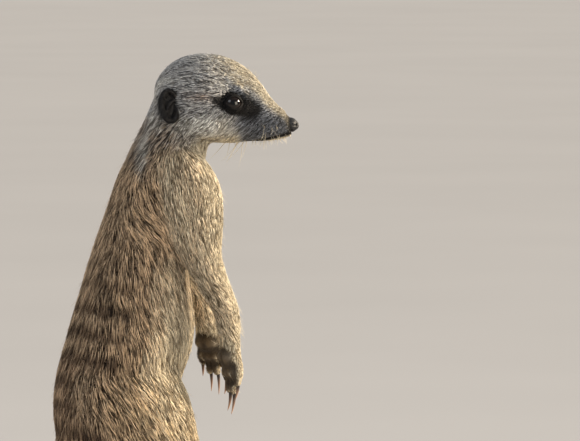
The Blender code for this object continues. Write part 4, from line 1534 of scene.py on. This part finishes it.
# Groups of bristles on the head: place from the eyes, heading, sag, lengths, radius, how many.
HEAD_BRISTLES = (
    ((25, 5.5, -13), (0.35, 0.75, -0.35), (-0.5, 0, -0.4), (5, 9), 0.10, 8),
    ((19, 5.5, -15), (0.1, 0.85, -0.45), (-0.6, 0, -0.5), (7, 12), 0.10, 7),
    ((24, 2.5, -18), (0.35, 0.15, -1), (0.2, 0, 0), (2.5, 5), 0.13, 14),
    ((14, 3, -20), (0.1, 0.15, -1), (-0.2, 0, 0), (3, 7), 0.13, 12),
    ((3, 4.5, -21), (-0.35, 0.2, -1), (-0.35, 0, 0), (11, 19), 0.19, 4),
    ((11, 1.5, 13), (0.3, 0.15, 0.9), (-0.3, 0, 0), (2.0, 4.5), 0.08, 10),
    ((4, 10, 8.5), (0.0, 0.6, 0.75), (-0.3, 0, -0.3), (3, 5), 0.07, 3),
)

# Rows of longer hairs down the front of the body: node, count a side, lengths.
FRONT_BRISTLES = (
    ("forearm_{}", 60, (2.5, 6.5)),
    ("hand_{}", 26, (2.0, 4.0)),
    ("upper_arm_{}", 34, (3.5, 9.0)),
    ("chest", 60, (4.0, 11.0)),
    ("belly", 30, (3.5, 7.0)),
)


def head_bristles(rng):
    """Where the head's bristles grow: place, heading, sag, length, radius."""
    for place, heading, sag, lengths, radius, count in HEAD_BRISTLES:
        for sign in SIDES.values():
            for _ in range(count):
                spot = Vector(place) + Vector(rng.normal(0, 1, 3) * BRISTLE_SCATTER)
                turn = Vector(heading) + Vector(rng.normal(0, BRISTLE_TURN, 3))
                spot.y *= sign
                turn.y *= sign
                length = rng.uniform(*lengths)
                yield head_point(*spot), HEAD_AXES @ turn, HEAD_AXES @ Vector(sag), length, radius


def front_bristles(rng):
    """The same for the longer hairs down the front of the body and arms."""
    for name, count, lengths in FRONT_BRISTLES:
        for side, sign in SIDES.items():
            low, high = (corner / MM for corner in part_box(name.format(side)))
            whole = "{}" not in name
            for _ in range(count):
                y = rng.uniform(0, 12) * sign if whole else (low.y + high.y) / 2 + rng.normal(0, 3)
                spot = Vector((high.x + FRONT_OUT, y, rng.uniform(low.z, high.z)))
                spread = Vector((0, rng.normal(0, 0.3) + 0.02 * y * whole, rng.normal(0, 0.2)))
                turn = Vector(FRONT_HEADING) + spread
                yield spot, turn, Vector(FRONT_SAG), rng.uniform(*lengths), FRONT_RADIUS


def make_bristles(skin, look, rng):
    tree = skin.ground()
    points, faces = [], []
    pattern = horn_faces(BRISTLE_SIDES, BRISTLE_JOINTS)
    for spot, turn, sag, length, radius in (*head_bristles(rng), *front_bristles(rng)):
        root = tree.find_nearest(spot)[0] - turn.normalized() * BRISTLE_BURIED
        faces.append(pattern + len(points))
        points += bristle(root, turn, sag, length, radius)
    along = {"along": horn_shares(BRISTLE_SIDES, BRISTLE_JOINTS) * len(faces)}
    link_mesh("bristles", np.array(points), np.concatenate(faces), look, "pale_fur", along)


# ---------------------------- stage

CAMERA_YAW = 12  # degrees
CAMERA_DROP = 4.5  # degrees that it looks down
CAMERA_DISTANCE = 2.6  # metres
SEEN_WIDTH = 0.2987  # metres across the picture, at the model
SENSOR = 36
AIM = (0.085, 0.2037)  # metres right and up in the picture
AIM_FROM = Vector((0.0534, 0, 0))
LIT_HEIGHT = 0.18  # metres up to the place that the lights point at
FLOOR_RADIUS = 14
FLOOR_COLOURS = ((0.42, 0.425, 0.44), (0.46, 0.465, 0.48))
SKY_COLOUR = (0.86, 0.9, 0.95)
SKY_STRENGTH = 0.4
# Lights: kind, name, place right, ahead and up, size in degrees or metres, power, colour.
LIGHTS = (
    ("SUN", "key", (1.0, 0.24, 0.42), 11, 7.4, (1.0, 0.85, 0.66)),
    ("AREA", "front", (1.3, -0.8, 0.35), 0.7, 10, (1.0, 0.88, 0.7)),
    ("AREA", "fill", (-0.8, -1.5, 1.4), 1.0, 11, (0.9, 0.95, 1.0)),
)


def camera_axes():
    yaw, drop = math.radians(CAMERA_YAW), math.radians(CAMERA_DROP)
    right = Vector((math.cos(yaw), -math.sin(yaw), 0))
    ahead = Vector((math.sin(yaw) * math.cos(drop), math.cos(yaw) * math.cos(drop), -math.sin(drop)))
    return right, ahead, right.cross(ahead)


def add_camera():
    right, ahead, up = camera_axes()
    aim = right * AIM[0] + up * AIM[1] + AIM_FROM
    data = bpy.data.cameras.new("camera")
    data.sensor_width = SENSOR
    data.lens = SENSOR * CAMERA_DISTANCE / SEEN_WIDTH
    data.clip_end = 100
    camera = placed("camera", data)
    camera.location = aim - ahead * CAMERA_DISTANCE
    camera.rotation_euler = ahead.to_track_quat("-Z", "Y").to_euler()
    bpy.context.scene.camera = camera


def toward(place):
    """A direction in the scene, given as right, ahead and up for the camera."""
    right, ahead, _ = camera_axes()
    level = Vector((ahead.x, ahead.y, 0)).normalized()
    return right * place[0] + level * place[1] + Vector((0, 0, place[2]))


def add_light(kind, name, place, size, power, colour):
    """A soft light that points at the model; place is right, ahead and up from it, in metres."""
    middle = Vector((0, 0, LIT_HEIGHT))
    at = middle + toward(place)
    data = bpy.data.lights.new(name, kind)
    if kind == "SUN":
        data.angle = math.radians(size)
    else:
        data.size = size
    data.energy = power
    data.color = colour
    light = placed(name, data)
    light.location = at
    light.rotation_euler = (middle - at).to_track_quat("-Z", "Y").to_euler()


def add_floor():
    graph = Graph("floor")
    look = graph.finish(graph.mix(graph.noise(3, 2), *FLOOR_COLOURS), 0.9, specular_ior_level=0.1)
    bm = bmesh.new()
    bmesh.ops.create_circle(bm, cap_ends=True, segments=96, radius=FLOOR_RADIUS)
    mesh = bpy.data.meshes.new("floor")
    bm.to_mesh(mesh)
    bm.free()
    mesh.materials.append(look)
    placed("floor", mesh)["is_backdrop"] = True


def add_stage():
    """The floor, a low sun from behind, two soft lights and an even sky."""
    add_floor()
    for light in LIGHTS:
        add_light(*light)
    world = bpy.data.worlds.new("world")
    world.use_nodes = True
    background = world.node_tree.nodes["Background"]
    background.inputs["Color"].default_value = (*SKY_COLOUR, 1)
    background.inputs["Strength"].default_value = SKY_STRENGTH
    bpy.context.scene.world = world
    bpy.context.scene.view_settings.view_transform = "Standard"


# ---------------------------- the whole


HIDE_GRAIN = 0.12  # how unevenly the skin under the coat is toned
PAD_CALM = 0.85  # share by which a pad is more even
PAD_FLECK_CALM = 0.9


def skin_attributes(skin, rng):
    """What the skin's look reads at each point."""
    count, pad = len(skin.points), skin.marks["pad"]
    grain = HIDE_GRAIN * rng.normal(size=count) * (1 - PAD_CALM * pad)
    # Painted light on the palms: each pad is lighter where it swells, as a painted highlight, and darker
    # in the creases between pads, as painted shade.
    along = np.clip(0.1 + 0.6 * skin.swell + grain, 0, 1)
    fleck = 0.5 + (rng.random(count) - 0.5) * (1 - PAD_FLECK_CALM * pad)
    return {**skin.marks, "along": along, "fleck": fleck}


def make_meerkat(rng):
    """Every visible piece of the animal."""
    coat = coat_look()
    skin = make_skin()
    shown = skin_attributes(skin, rng)
    body = link_mesh("skin", skin.points, skin.faces, skin_look(), "grey_fur", shown)
    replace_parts(body, *skin.nodes)
    make_coat(skin, coat, rng)
    make_eyes(eye_look(), hide_look("lid_hide"), coat, skin, rng)
    make_nose(hide_look("nose_hide"))
    ear_hide = hide_look("ear_hide")
    for side in SIDES:
        make_ear(side, ear_hide, coat, rng)
    make_claws(horn_look())
    make_bristles(skin, bristle_look(), rng)


make_meerkat(np.random.default_rng(SEED))
add_camera()
add_stage()
boxes = {"cad": cad_box, "visual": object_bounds()}
{key: [list(corner) for corner in box] for key, box in boxes.items()}
